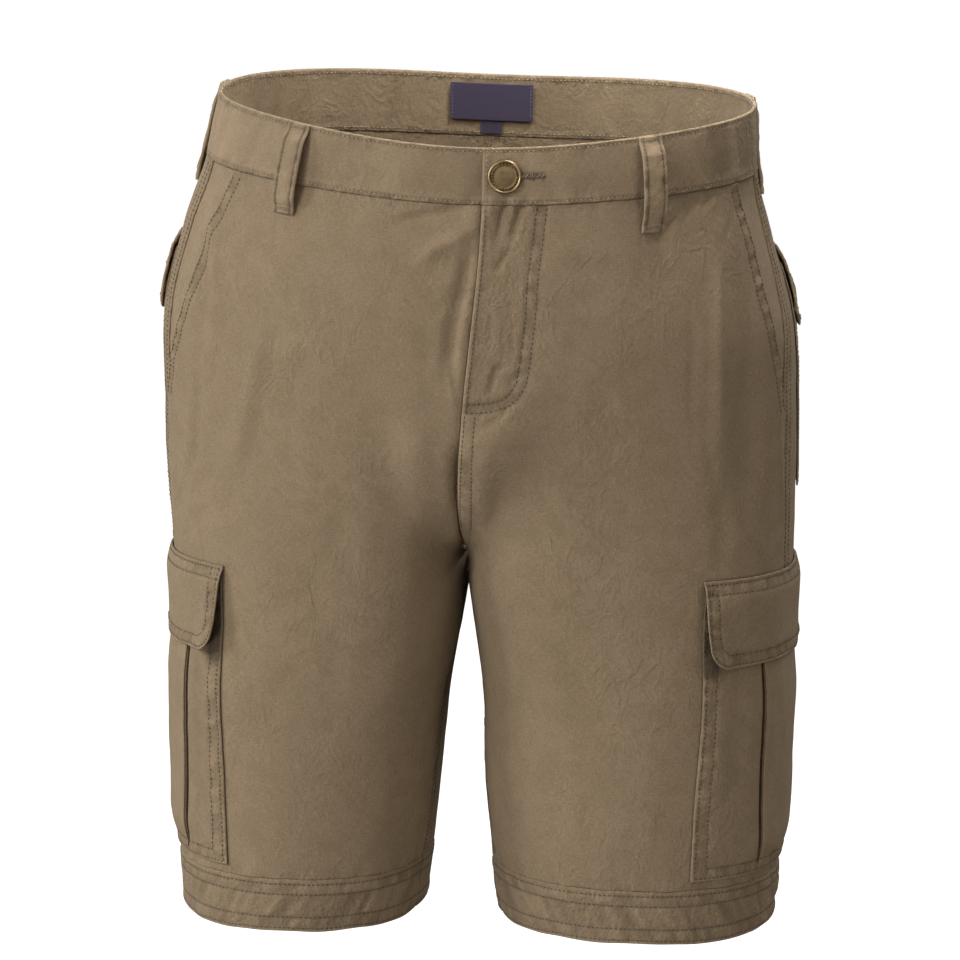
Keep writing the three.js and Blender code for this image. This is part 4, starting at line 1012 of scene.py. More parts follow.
ZB = np.array([0, .45, 1.0, 1.6, 2.3, 3.2, 4.6, 6.6, 9, 12, 15, 18, 21, 24, 27, 30, 33, 35.2, 36.8, 37.8, 38.5, 39.2, 39.8, 40.35]) + Z_BAND + GAP / 2
DL, DR = arcs(1, ZB), arcs(-1, ZB)
NB = 620
w = np.linspace(0, 1, NB)
start_u = u_at(1, DL[:, :1] + 0.06, ZB, DL)[:, 0]
end_u = u_at(-1, DR[:, :1] + 16.0, ZB, DR)[:, 0]
t = mix(start_u[:, None], (2 - end_u)[:, None], w[None, :])
t[:, 1], t[:, 2] = t[:, 0] + (t[:, 2] - t[:, 0]) * 0.25, t[:, 0] + (t[:, 2] - t[:, 0]) * 0.55
tail_s = np.array([14, 12, 10, 8, 6, 4, 2, 0.5])           # still on the wearer's right, going behind the overlap
tail_d = np.array([0.03, 0.12, 0.25, 0.42, 0.6, 0.78, 0.92, 1.0])
tail_on = np.array([2, 5, 9, 13, 17, 21, 25, 29, 33, 36, 37, 37.55, 38.0])
left = t <= 1
zz = np.broadcast_to(ZB[:, None], t.shape)
uL, uR = np.clip(t, 0, 1), np.clip(2 - t, 0, 1)
PL, PR = cloth(1, uL, zz), cloth(-1, uR, zz)
NL, NR = normal(1, uL, zz), normal(-1, uR, zz)
P = np.where(left[..., None], PL, PR)
N = np.where(left[..., None], NL, NR)
cL = np.stack([np.interp(a, UU, d) for a, d in zip(uL, DL)]) - DL[:, :1]
cR = np.stack([np.interp(a, UU, d) for a, d in zip(uR, DR)]) - DR[:, :1]
halfL, halfR = DL[:, -1:] - DL[:, :1], DR[:, -1:] - DR[:, :1]
run = np.where(left, cL, halfL + (halfR - cR))              # distance from the centre front all the way round
sL = np.stack([np.interp(a, UU, d) for a, d in zip(uL, DL)])
sR = np.stack([np.interp(a, UU, d) for a, d in zip(uR, DR)])
fs = np.where(left, folds(1, sL, cL, halfL - cL, P), folds(-1, sR, cR, halfR - cR, P)) * 0.55
drop = np.zeros_like(t)
# the tail
uT1 = u_at(-1, DR[:, :1] + tail_s[None, :], ZB, DR)
uT2 = u_at(1, DL[:, :1] + tail_on[None, :], ZB, DL)
zt1, zt2 = np.broadcast_to(ZB[:, None], uT1.shape), np.broadcast_to(ZB[:, None], uT2.shape)
P = np.concatenate([P, cloth(-1, uT1, zt1), cloth(1, uT2, zt2)], 1)
N = np.concatenate([N, normal(-1, uT1, zt1), normal(1, uT2, zt2)], 1)
run = np.concatenate([run, halfL + halfR - tail_s[None, :], halfL + halfR + tail_on[None, :]], 1)
fs = np.concatenate([fs, fs[:, -1:] * (1 - tail_d)[None, :], np.zeros_like(uT2)], 1)
drop = np.concatenate([drop, np.broadcast_to(tail_d, uT1.shape), np.ones_like(uT2)], 1)
zz = np.broadcast_to(ZB[:, None], run.shape)
up = zz - ZB[0]
down = ZB[-1] - zz
total_run = (halfL + halfR)[0, 0]
side_l = np.abs(run - (-DL[:, :1]))
side_r = np.abs(run - (halfL + halfR + DR[:, :1]))
by_side = np.exp(-((side_l / 42) ** 2)) + np.exp(-((side_r / 42) ** 2))
rough_band = 0.20 + 0.42 * np.clip(by_side, 0, 1)
h = rough_band * step(0.5, 7, up) * step(0.5, 7, down) * wave(run / 8.5 + 0.02 * up, 60)
h += 0.55 * rough_band * wave(run / 4.6, 61) * (np.exp(-((up - 4) / 4) ** 2) + np.exp(-((down - 4) / 4) ** 2))
h += groove(up, 2.3, 0.3, 0.8) + groove(down, 2.5, 0.3, 0.8)
h += 0.34 * wave(run / 3.6, 62) * np.exp(-((up / 2.6) ** 2)) + 0.32 * wave(run / 4.0, 63) * np.exp(-((down / 2.6) ** 2))
bulge = 0.5 * np.exp(-(((up - 20) / 12) ** 2))
# the buttonhole's closed slit, and the cloth drawn in round the shank
slit = (np.abs(up - (BUTTON["level"] - ZB[0])) < 1.0) & (run > BUTTON["front"] + 6) & (run < BUTTON["slit"])
h += -0.45 * slit
shank = np.hypot(run - BUTTON["front"], up - (BUTTON["level"] - ZB[0]))
h += -0.5 * np.exp(-((shank / 8.5) ** 2)) * (drop < 0.5)
fall = BAND["out"] - UNDERLAP["out"]
total = BAND["out"] + fs + bulge * (1 - drop) + h * (1 - 0.6 * drop) - fall * drop
under = np.where(drop > 0.9, 0.35, 1.0)
# colour from the relief, partly wash wear and partly painted light and shade; top edge and overlap end paler from wear,
# lighter just above the lower row; painted shade under the band's foot, along its rows of stitches and in the
# buttonhole's slit
tone = np.clip(h / 0.5, -1, 1) * 0.7 + 0.36 * np.exp(-((down / 1.1) ** 2)) + 0.25 * np.exp(-(((up - 4.6) / 1.6) ** 2)) - 0.55 * np.exp(-((up / 1.1) ** 2)) - 0.35 * np.exp(-(((up - 2.6) / 0.7) ** 2)) - 0.45 * np.exp(-(((down - 2.7) / 0.7) ** 2)) + 0.3 * np.exp(-((run / 1.2) ** 2)) - 0.5 * np.exp(-(((run - 2.4) / 0.8) ** 2)) - 0.7 * slit
seam = np.clip(0.35 + by_side * 0.6 + np.exp(-up / 5) + np.exp(-down / 5), 0, 1)
outer = P + N * total[..., None]
inner = P + N * (BAND["out"] - BAND["thick"] + fs + h * 0.35 - fall * drop)[..., None]
band = pieces["waistband"] = Piece("waistband", run, ZB, outer, inner, tone, seam, rim=0.6)
band.build(MATERIAL["twill"], "twill", (0.970, 0.0405), held="stretched", rests_on=["front_panel_left", "front_panel_right", "back_panel_left", "back_panel_right"])


def band_fold(side, s, z, D, P):
    front, back = distances(side, D, s)
    return folds(side, s, front, back, P)


# ------------------------------------------------------------------ patches that lie on a panel
def on_panel(name, side, s, Z, low, thick, material="twill", slot="twill", tone=None, seam=None, rim=0.4, flat=(0.1, 0.1), area=None, held="laid", rests_on=(), sag=None, share=1.0):
    """A patch at distances s (one row for a level) whose under side stands low over the cloth."""
    D = arcs(side, Z)
    u = u_at(side, s, Z, D)
    zz = np.broadcast_to(Z[:, None], s.shape) if Z.ndim == 1 else Z
    front, back = distances(side, D, s)
    P, N = cloth(side, u, zz), normal(side, u, zz)
    f = folds(side, s, front, back, P) * share
    outer, inner = P + N * (f + low + thick)[..., None], P + N * (f + low)[..., None]
    if sag is not None:
        outer[..., 2] += sag
        inner[..., 2] += sag
    p = Piece(name, s, Z, outer, inner, tone, seam, rim=rim)
    pieces[name] = p
    p.build(MATERIAL[material], slot, flat, area=area, held=held, rests_on=rests_on)
    return p


def flap_piece(name, side, F, rows, flat, rests_on, seed):
    """A flap sewn flat along its top, then standing over its pocket. Each column runs to its own end at the round corners."""
    width = F["back"] - F["front"]
    x = ticks(width, 1.25, 1.9, 14, 14)
    f = np.concatenate([[0, .008, .02, .035, .055, .08], np.linspace(0.11, 0.97, 26), [0.985, 1.0]])[::-1]
    d = np.minimum(np.minimum(x, width - x), F["corner"])
    lift = F["corner"] - np.sqrt(np.maximum(F["corner"] ** 2 - (F["corner"] - d) ** 2, 0))
    zcol = F["top"] + (F["bottom"] + lift[None, :] - F["top"]) * f[:, None]
    s = np.broadcast_to((F["front"] + x)[None, :], zcol.shape)
    keys = np.array([r[0] for r in rows]); vals = np.array([r[1] for r in rows])
    stand = np.interp(f, keys, vals)
    k = np.ones(5) / 5
    soft = np.convolve(np.pad(stand, 2, mode="edge"), k, "valid")
    soft[-4:] = stand[-4:]
    down = F["top"] - zcol
    edge = np.minimum(np.minimum(x[None, :] + 0 * zcol, width - x[None, :] + 0 * zcol), (zcol - (F["bottom"] + lift[None, :])) + 0)
    along = np.where(x[None, :] + 0 * zcol < np.minimum(width - x[None, :], edge + 1e-6) + 1e-6, zcol, np.where(width - x[None, :] <= edge + 1e-6, zcol + 40, s))
    h = ladder(along, edge, ROW, ROW + TWIN, 3.9, 1.0, 0.3, seed) + groove(edge, ROW, 0.34) + groove(edge, ROW + TWIN, 0.34)
    h += groove(down, ROW, 0.34) + groove(down, ROW + TWIN, 0.3) + 0.6 * step(0.8, 2.4, down) * step(9, 6.6, down) * (wave(s / 3.9, seed + 7) - 0.2)
    h *= step(0.0, 1.2, down)
    curl = 0.7 * wave(s / 38.0, seed + 9) * step(0.35, 1.0, f)[:, None] + 0.35 * wave(s / 17.0, seed + 10) * step(0.3, 1.0, f)[:, None]
    h = h + curl
    # positions: each column has its own levels, so the surface is asked point by point
    flat_z, flat_s = zcol.ravel(), s.ravel()
    grid = np.linspace(F["bottom"] - 4, F["top"] + 4, 34)
    Dg = arcs(side, grid)
    Ug = np.stack([np.interp(F["front"] + x, row, UU) for row in Dg])                       # (levels, columns)
    u = np.stack([np.interp(zcol[:, i], grid, Ug[:, i]) for i in range(len(x))], 1)
    e0 = np.interp(zcol, grid, Dg[:, 0]); e1 = np.interp(zcol, grid, Dg[:, -1])
    P, N = cloth(side, u, zcol), normal(side, u, zcol)
    fo = folds(side, s, s - e0, e1 - s, P)
    low = soft[:, None] + h + F["curl"] * (f[:, None] * smooth(1 - np.minimum(x, width - x) / 26)[None, :] + 1.5 * f[:, None] ** 2 * smooth(1 - x / 20)[None, :])
    low = np.maximum(low, 0.25 + 0.15 * step(0, 2, down))
    thick = CLOTH + 0.4
    outer, inner = P + N * (fo + low + thick)[..., None], P + N * (fo + low)[..., None]
    # colour from the relief, partly wash wear and partly painted light and shade; edges paler from wear, painted shade
    # along the stitch grooves, darker between the twin rows
    tone = np.clip((h - curl) / 0.8, -1, 1) * 0.4 + 0.75 * np.exp(-((edge / 1.0) ** 2)) * (edge < down) + 0.25 * np.exp(-((down / 1.1) ** 2)) + stitch_groove_shade(edge) + strip(edge, 0.12) + stitch_groove_shade(down)
    seam = np.clip(np.exp(-edge / 10) + np.exp(-down / 8) + 0.25, 0, 1)
    p = Piece(name, s.copy(), f, outer, inner, tone, seam, rim=0.5)
    p.zcol, p.x, p.width, p.F = zcol, x, width, F
    p.levels = zcol
    pieces[name] = p
    p.build(MATERIAL["twill"], "twill", flat, held="hung", rests_on=rests_on)

    def on(xs, downs):
        """Points of the flap at distances from its front edge and down from its top edge."""
        i = np.interp(xs, x, np.arange(len(x)))
        i0 = np.clip(np.floor(i).astype(int), 0, len(x) - 2)
        a = i - i0
        zt = F["top"] - downs
        j = np.array([np.interp(zv, mix(zcol[:, k0], zcol[:, k0 + 1], fa), np.arange(len(f))) for zv, k0, fa in zip(zt, i0, a)])
        j0 = np.clip(np.floor(j).astype(int), 0, len(f) - 2)
        b = (j - j0)[:, None]
        a = a[:, None]
        look = lambda G: mix(mix(G[j0, i0], G[j0, i0 + 1], a), mix(G[j0 + 1, i0], G[j0 + 1, i0 + 1], a), b)
        return look(p.outer), unit(look(p.N))
    p.on = on
    return p


def sew_flap(group, p, inset):
    """One row round a flap's sides and round corners."""
    F, width = p.F, p.width
    high = F["top"] - F["bottom"]
    r = F["corner"] - inset * 0.6
    a = np.linspace(0, pi / 2, 12)
    xs = np.concatenate([[inset, inset], inset + r - r * np.cos(a), [width / 2], (width - inset - r) + r * np.sin(a), [width - inset, width - inset]])
    ds = np.concatenate([[1.5, high * 0.4], (high - inset - r) + r * np.sin(a), [high - inset], (high - inset - r) + r * np.cos(a), [high * 0.4, 1.5]])
    d = np.concatenate([[0], np.cumsum(np.hypot(np.diff(xs), np.diff(ds)))])
    t = np.linspace(0, d[-1], int(d[-1] / 1.1))
    lines.setdefault(group, []).append(p.on(np.interp(t, d, xs), np.interp(t, d, ds)))
    return


def sew_flap_top(group, p, down):
    xs = np.arange(1.2, p.width - 1.2, 1.1)
    lines.setdefault(group, []).append(p.on(xs, np.full(len(xs), down)))


FLAP_ROWS = [(0, 0.3), (0.09, 1.0), (0.16, 3.4), (0.45, 4.0), (0.75, 4.5), (1, 5.0)]
BACK_FLAP_ROWS = [(0, 0.45), (0.1, 0.9), (0.19, 3.0), (0.55, 3.3), (1, 3.7)]

for side in (1, -1):
    hand = "left" if side > 0 else "right"
    # cargo pocket with its box pleat: the pleat's folded edges stand over the slits beside it
    K = POCKET
    pl = K["pleat"][side]
    def profile(front_edge, fold, sign):
        """Columns from a side edge to the pleat's middle, as (s, swell share, rise)."""
        out = []
        span = abs(fold - front_edge)
        for x in ticks(span - 3.6, 1.3, 2.2, 11, 6)[:-2]:
            out.append((x, float(np.interp(x, [0, 0.5, 1.2, 2.5, 10, 24, span - 12], [0, .2, .35, .5, .55, .8, 1.0])), 0.0))
        out += [(span - 3.3, 1.0, -0.1), (span - 2.8, 1.0, -0.9), (span - 2.5, 1.0, -2.0), (span - 0.1, 1.0, -2.4), (span + 0.6, 1.0, -2.2)]
        out += [(span - 0.3, 1.0, 0.2), (span - 0.8, 1.0, 0.9), (span - 0.7, 1.0, 1.45), (span - 0.1, 1.0, 1.6)]
        return [(front_edge + sign * x, d, y) for x, d, y in out]
    left_part = profile(K["front"], -pl, 1)
    right_part = profile(K["back"], pl, -1)[::-1]
    centre = [(v, 1.0 + 0.1 * (1 - abs(v) / pl), K["rise"]) for v in np.linspace(-pl + 1.6, pl - 1.6, 30)]
    cols = left_part + centre + right_part
    cs, cd, cy = (np.array([c[k] for c in cols]) for k in range(3))
    Z = K["bottom"] + ticks(K["top"] - K["bottom"], 1.3, 2.3, 10, 0)
    level = ((Z - K["bottom"]) / (K["top"] - K["bottom"]))[:, None]
    full = smooth(level / 0.12) * mix(1, 0.35, smooth((level - 0.6) / 0.3))
    flat_s = np.broadcast_to(cs[None, :], (len(Z), len(cs)))
    s = flat_s + K["lean"] * (1 - level) * np.clip((cs[None, :] + pl) / (K["front"] + pl), 0, 1)
    zz = np.broadcast_to(Z[:, None], s.shape)
    ef, eb, eu = flat_s - K["front"], K["back"] - flat_s, zz - K["bottom"]
    edge = np.minimum(np.minimum(ef, eb), eu)
    along = np.where(edge >= eu - 1e-6, s, zz)
    h = ladder(along, edge, ROW, ROW + TWIN, 4.4, 1.25, 0.25, 70 + side) + groove(edge, ROW, 0.36) + groove(edge, ROW + TWIN, 0.36)
    away = step(9, 20, edge)
    inner_part = (np.abs(flat_s) < pl).astype(float)
    h += away * (0.55 * cloud(np.stack([s, zz * 0.45, 0 * s + 40 * side], -1), 20, 5) + 0.25 * wave(s / 9 + zz / 80, 73))
    # the panels beside the pleat belly between the flap and the bottom
    h += -0.8 * away * np.exp(-(((np.abs(flat_s) - 0.5 * (pl - K["front"])) / 9) ** 2)) * smooth(level * 2) * (1 - inner_part)
    low = GAP + 0.2 + K["swell"] * cd[None, :] * full + cy[None, :] * full + h * smooth(level / 0.02)
    low = np.maximum(low, GAP)
    # colour from the relief, partly wash wear and partly painted light and shade; edges and the pleat's folded edges
    # paler from wear, painted shade along the stitch grooves, and near-black painted shade down the slits beside the
    # pleat
    tone = np.clip(h / 0.8, -1, 1) * 0.28 + 0.7 * np.exp(-((edge / 1.0) ** 2)) + stitch_groove_shade(edge) + strip(edge, 0.26) + 0.3 * np.exp(-(((np.abs(flat_s) - pl + 0.8) / 1.0) ** 2)) * (cy[None, :] > 0.5) - 1.6 * (cy[None, :] < -0.5) * smooth(level / 0.2)
    # painted shadow on the pocket under the flap's front corner
    tone -= 1.5 * step(17, 5, ef) * step(-330, -318, zz)
    seam = np.clip(np.exp(-edge / 10) + 0.2, 0, 1)
    p = on_panel("cargo_pocket_" + hand, side, s, Z, low, CLOTH, tone=tone, seam=seam, flat=(0.190, 0.180), held="laid", rests_on=["front_panel_" + hand, "back_panel_" + hand])
    p.edges = (K["front"], K["back"])
    p.cols = cs

    fp = flap_piece("cargo_flap_" + hand, side, FLAP, FLAP_ROWS, (0.156, 0.056), ["cargo_pocket_" + hand], 80 + side)
    sew_flap("stitches_cargo_" + hand, fp, ROW)
    sew_flap("stitches_cargo_" + hand, fp, ROW + TWIN)
    sew_flap_top("stitches_cargo_" + hand, fp, ROW + 0.3)
    sew_flap_top("stitches_cargo_" + hand, fp, ROW + TWIN)

    # back pocket
    B = BACK_POCKET
    w = B["back"] - B["front"]
    x = ticks(w, 1.4, 2.4, 11, 11)
    Z = B["bottom"] + ticks(B["top"] - B["bottom"], 1.4, 2.4, 11, 4)
    s = np.broadcast_to((B["front"] + x)[None, :], (len(Z), len(x)))
    zz = np.broadcast_to(Z[:, None], s.shape)
    edge = np.minimum(np.minimum(s - B["front"], B["back"] - s), zz - B["bottom"])
    along = np.where(edge >= zz - B["bottom"] - 1e-6, s, zz)
    h = ladder(along, edge, ROW, ROW + TWIN, 6.0, 0.42, 0.4, 90 + side) + groove(edge, ROW, 0.32) + groove(edge, ROW + TWIN, 0.32)
    h += step(9, 20, edge) * 0.4 * cloud(np.stack([s, zz, 0 * s + 10 * side], -1), 26, 6)
    low = np.maximum(GAP + 0.15 + B["swell"] * np.minimum(1, edge / 26) + h * step(0, 1.5, edge), GAP)
    # colour from the relief, partly wash wear and partly painted light and shade; edges paler from wear, painted shade
    # along the stitch grooves, darker between the twin rows
    tone = np.clip(h / 0.8, -1, 1) * 0.4 + 0.6 * np.exp(-((edge / 1.0) ** 2)) + stitch_groove_shade(edge) + strip(edge, 0.15)
    on_panel("back_pocket_" + hand, side, s, Z, low, CLOTH, tone=tone, seam=np.clip(np.exp(-edge / 10) + 0.2, 0, 1), flat=(0.138, 0.138), held="laid", rests_on=["back_panel_" + hand])
    bf = flap_piece("back_flap_" + hand, side, BACK_FLAP, BACK_FLAP_ROWS, (0.142, 0.052), ["back_pocket_" + hand], 96 + side)
    for inset in (ROW, ROW + TWIN):
        sew_flap("stitches_back_" + hand, bf, inset)
    sew_flap_top("stitches_back_" + hand, bf, ROW + 0.3)
    sew_flap_top("stitches_back_" + hand, bf, ROW + TWIN)


# ------------------------------------------------------------------ belt loops
def loop_piece(name, place_at, top, bottom, stand, seed):
    """place_at(x, z) gives a point and normal of the cloth at x mm from the loop's middle."""
    half = LOOP["width"] / 2
    x = np.concatenate([[-half, -half + .35, -half + .8], np.linspace(-half + 1.5, half - 1.5, 13), [half - .8, half - .35, half]])
    f = np.concatenate([[0, .006, .015], np.linspace(0.03, 0.97, 52), [.985, .994, 1]])[::-1]
    z = mix(top, bottom, f)
    rest = BAND["out"] + GAP
    keys = [0, .07, .2, .42, .66, .84, .94, 1]
    vals = [rest + 0.1, rest + 0.5, rest + stand * 0.85, rest + stand, rest + stand * 0.95, rest + stand * 0.7, 1.2, 0.45]
    ff = np.linspace(0, 1, 240)
    prof = np.interp(ff, keys, vals)
    prof = np.convolve(np.pad(prof, 8, mode="edge"), np.ones(17) / 17, "valid")
    low = np.interp(f, ff, prof)[:, None] + 0 * x[None, :]
    X, Zg = np.meshgrid(x, z)
    # a strip folded in three: thick in the middle, two rows of stitches near its edges
    h = 0.35 * np.exp(-((X / 3.4) ** 2)) - 0.36 * np.exp(-(((np.abs(X) - 5.0) / 0.7) ** 2)) + (0.3 * wave(Zg / 3.6, seed) + 0.2 * wave(Zg / 2.1 + X / 4, seed + 4)) * np.exp(-(((np.abs(X) - 5.6) / 2.0) ** 2))
    h += 0.3 * wave(Zg / 7 + X / 16, seed + 1) + 0.25 * np.exp(-(((f[:, None] - 0.955) / 0.02) ** 2)) - 0.25 * np.exp(-(((f[:, None] - 0.915) / 0.012) ** 2))
    P, N = place_at(X, z)
    outer, inner = P + N * (low + LOOP["thick"] + h)[..., None], P + N * low[..., None]
    edge = half - np.abs(X)
    # colour from the relief, partly wash wear and partly painted light and shade; edges paler from wear, painted shade
    # along the two rows of stitches
    tone = np.clip(h / 0.5, -1, 1) * 0.75 + 0.45 * np.exp(-((edge / 0.8) ** 2)) - 0.4 * np.exp(-(((edge - 2.3) / 0.7) ** 2))
    p = Piece(name, X, z, outer, inner, tone, np.full(X.shape, 0.6), rim=0.5)
    pieces[name] = p
    p.build(MATERIAL["twill"], "twill", (LOOP["width"] * MM, 0.064), held="stretched", rests_on=["waistband"])
    g = "stitches_band"
    zr = np.linspace(top - 1.5, bottom + 1.5, 60)
    for sx in (-5.0, 5.0):
        sew(g, p, np.full(60, sx), zr)
    bar = np.linspace(-5.2, 5.2, 12)
    for zb in (bottom + 2.0, bottom + 2.7, bottom + 3.4):
        sew("bartacks", p, bar, np.full(12, zb), every=0.8)
    for zb in (top - 2.2, top - 2.9):
        sew("bartacks", p, bar, np.full(12, zb), every=0.8)
    return p


def at_side(side, mid_top, mid_bottom, top, bottom):
    def f(X, z):
        D = arcs(side, z)
        fr = ((z - top) / (bottom - top))[:, None]
        s = D[:, :1] + mix(mid_top, mid_bottom, fr) + X
        u = u_at(side, s, z, D)
        zz = np.broadcast_to(z[:, None], u.shape)
        P = cloth(side, u, zz)
        N = normal(side, u, zz)
        fo = folds(side, s, s - D[:, :1], D[:, -1:] - s, P) * 0.55
        return P + N * fo[..., None], N
    return f


LOOPS = [  # name, side, distance of its middle from the centre front at the top and the bottom, level of its foot
    dict(name="belt_loop_front_right", side=-1, top_at=115.7, foot_at=124.6, foot=-37.0, seed=3),
    dict(name="belt_loop_front_left", side=1, top_at=101.2, foot_at=105.0, foot=-39.5, seed=7),
]
for side in (1, -1):
    a = -arcs(side, np.array([0.0]))[0, 0] + 50
    LOOPS.append(dict(name="belt_loop_side_" + ("left" if side > 0 else "right"), side=side, top_at=a, foot_at=a + 3, foot=-38.0, seed=10 + side, stand=LOOP["side_stand"]))
LTOP = Z_TOP - 0.6
for L in LOOPS:
    loop_piece(L["name"], at_side(L["side"], L["top_at"], L["foot_at"], LTOP, L["foot"]), LTOP, L["foot"], L.get("stand", LOOP["stand"] + 2.0), L["seed"])


def at_back(X, z):
    DLb, DRb = arcs(1, z), arcs(-1, z)
    zz = np.broadcast_to(z[:, None], X.shape)
    uR = u_at(-1, DRb[:, -1:] - np.maximum(X, 0), z, DRb)
    uL = u_at(1, DLb[:, -1:] + np.minimum(X, 0), z, DLb)
    right = (X >= 0)[..., None]
    P = np.where(right, cloth(-1, uR, zz), cloth(1, uL, zz))
    N = np.where(right, normal(-1, uR, zz), normal(1, uL, zz))
    return P, N


loop_piece("belt_loop_back", at_back, LTOP, -38.0, 3.4, 15)

# ------------------------------------------------------------------ labels inside the back of the band
def label_piece(name, L, d, seed):
    half = L["width"] / 2
    x = np.concatenate([[-half, -half + .3, -half + .7], np.linspace(-half + 1.2, half - 1.2, max(14, int(L["width"] / 1.1))), [half - .7, half - .3, half]])
    z = np.concatenate([[0, .3, .7], np.linspace(1.2, L["bottom"] - L["top"] - 1.2, max(10, int((L["bottom"] - L["top"]) / 1.1))), [L["bottom"] - L["top"] - .7, L["bottom"] - L["top"] - .3, L["bottom"] - L["top"]]]) + Z_TOP - L["bottom"]
    X, Zg = np.meshgrid(x, z)
    P, N = at_back(X, z)
    edge = half - np.abs(X)
    low = np.minimum(edge, Zg - z[0])
    h = 0.2 * wave(Zg / 5, seed) * np.exp(-edge / 4) + 0.18 * np.exp(-((edge - 1.6) / 0.6) ** 2)
    toward = -1.0   # the shown face looks to the inside
    near = P + N * (d + h * 0 )[..., None]
    far = P + N * (d - L["thick"] + toward * (-h))[..., None]
    tone = 0.5 * np.exp(-((edge / 0.8) ** 2)) + 0.25 * np.exp(-((low / 0.7) ** 2))
    p = Piece(name, X, z, far, near, tone, rim=0.25)
    pieces[name] = p
    p.build(MATERIAL["label"], "label", (L["width"] * MM, (L["bottom"] - L["top"]) * MM), held="stretched", rests_on=["waistband"])
    return p


inside_band = BAND["out"] - BAND["thick"] - 1.5 * GAP
tab = label_piece("label_size", TAB, inside_band, 31)
lab = label_piece("label_main", LABEL, inside_band - TAB["thick"] - GAP, 33)
for sx in (-LABEL["width"] / 2 + 1.4, LABEL["width"] / 2 - 1.4):
    zr = np.linspace(Z_TOP - LABEL["bottom"] + 0.8, Z_TOP - LABEL["top"] - 0.8, 24)
    sew("stitches_label", lab, np.full(24, sx), zr)

# ------------------------------------------------------------------ fly
def fly_piece(name, a, b, bottom, d, thick, material, slot, flat, cols, seed):
    Z = np.linspace(bottom, Z_BAND - GAP, 56)
    DLf, DRf = arcs(1, Z), arcs(-1, Z)
    c = np.linspace(a, b, cols)[None, :] + 0 * Z[:, None]
    uL = u_at(1, DLf[:, :1] + np.maximum(c, 0), Z, DLf)
    uR = u_at(-1, DRf[:, :1] - np.minimum(c, 0), Z, DRf)
    zz = np.broadcast_to(Z[:, None], c.shape)
    on_left = (c >= 0)[..., None]
    P = np.where(on_left, cloth(1, uL, zz), cloth(-1, uR, zz))
    N = np.where(on_left, normal(1, uL, zz), normal(-1, uR, zz))
    sL, sR = DLf[:, :1] + np.maximum(c, 0), DRf[:, :1] - np.minimum(c, 0)
    fo = np.where(c >= 0, folds(1, sL, sL - DLf[:, :1], DLf[:, -1:] - sL, P), folds(-1, sR, sR - DRf[:, :1], DRf[:, -1:] - sR, P))
    fo = np.minimum(fo, 0) - 0.75
    p = Piece(name, c, Z, P + N * (fo + d)[..., None], P + N * (fo + d - thick)[..., None], seam=np.full(c.shape, 0.3))
    pieces[name] = p
    p.build(MATERIAL[material], slot, flat, held="stretched", rests_on=["front_panel_left"])
    return p


zip_piece = fly_piece("fly_zip", FLY["zip_from"], FLY["zip_to"], FLY["zip_bottom"], -CLOTH - GAP, 1.3, "tape", "tape", (0.024, 0.131), 22, 1)
shield = fly_piece("fly_shield", FLY["shield_from"], FLY["shield_to"], FLY["bottom"], -CLOTH - 2 * GAP - 1.3, CLOTH, "inside", "twill_inside", (0.052, 0.140), 34, 2)

# ------------------------------------------------------------------ the button
def button():
    zc = np.array([BUTTON["level"]])
    D = arcs(1, zc)
    u = u_at(1, D[:, :1] + BUTTON["front"], zc, D)[0, 0]
    P, N = cloth(1, u, zc[0]), normal(1, u, zc[0])
    up = unit(np.array([0, 0, 1.0]) - N * N[2])
    side = np.cross(up, N)
    cap = BAND["out"] + 0.5
    prof = [(0.0, 1.9), (1.0, 1.9), (2.2, 1.86), (3.6, 1.78), (4.8, 1.68), (5.6, 1.58), (6.2, 1.52), (6.5, 1.5), (6.9, 1.5), (7.4, 1.48), (7.8, 1.46), (8.2, 1.42),
            (8.6, 1.5), (8.9, 1.95), (9.25, 2.15), (9.65, 2.05), (10.0, 1.6), (10.18, 1.1), (10.2, 0.8), (10.0, 0.4), (9.6, 0.15), (8.4, 0.0), (3.4, 0.0), (3.2, -0.2), (3.2, -2.9), (2.9, -3.0), (0.0, -3.0)]
    seg = 96
    ang = np.arange(seg) * 2 * pi / seg
    verts, tone, faces, tris = [], [], [], []
    for k, (r, hh) in enumerate(prof):
        if r == 0:
            verts.append(np.array([[0, 0, hh + cap]]))
            tone.append([0.6])
        else:
            wob = 0.04 * np.sin(ang * 3 + k) * (r > 8)
            # a plain ring of small bars between the rims
            bead = 0.3 * (np.abs(np.sin(ang * 12)) > 0.6) * (6.8 < r < 8.0)
            verts.append(np.stack([(r + wob) * np.cos(ang), (r + wob) * np.sin(ang), np.full(seg, hh + cap) + bead], -1))
            hi = 0.85 if (8.8 < r < 9.8 and hh > 1.9) else 0.3 if r > 8 else 0.62 if r < 6 else 0.5
            tone.append(np.where(bead > 0, 0.08, 0.5 if 6.2 < r < 8.1 else 0.12 if 8.1 < r < 8.8 else hi) + 0 * ang)
    starts = np.cumsum([0] + [len(v) for v in verts])
    for k in range(len(prof) - 1):
        a, b = starts[k], starts[k + 1]
        i = np.arange(seg)
        j = (i + 1) % seg
        if prof[k][0] == 0:
            tris.append(np.stack([np.full(seg, a), b + i, b + j], -1))
        elif prof[k + 1][0] == 0:
            tris.append(np.stack([a + j, a + i, np.full(seg, b)], -1))
        else:
            faces.append(np.stack([a + i, b + i, b + j, a + j], -1))
    V = np.concatenate(verts)
    V = P + V[:, :1] * side + V[:, 1:2] * up + V[:, 2:] * N
    obj = mesh_object("waist_button_metal", V, [np.concatenate(faces), np.concatenate(tris)], MATERIAL["brass"], {"tone": np.concatenate([np.asarray(x, float).ravel() for x in tone])})
    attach(obj, body)
    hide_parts("waist_button")


button()

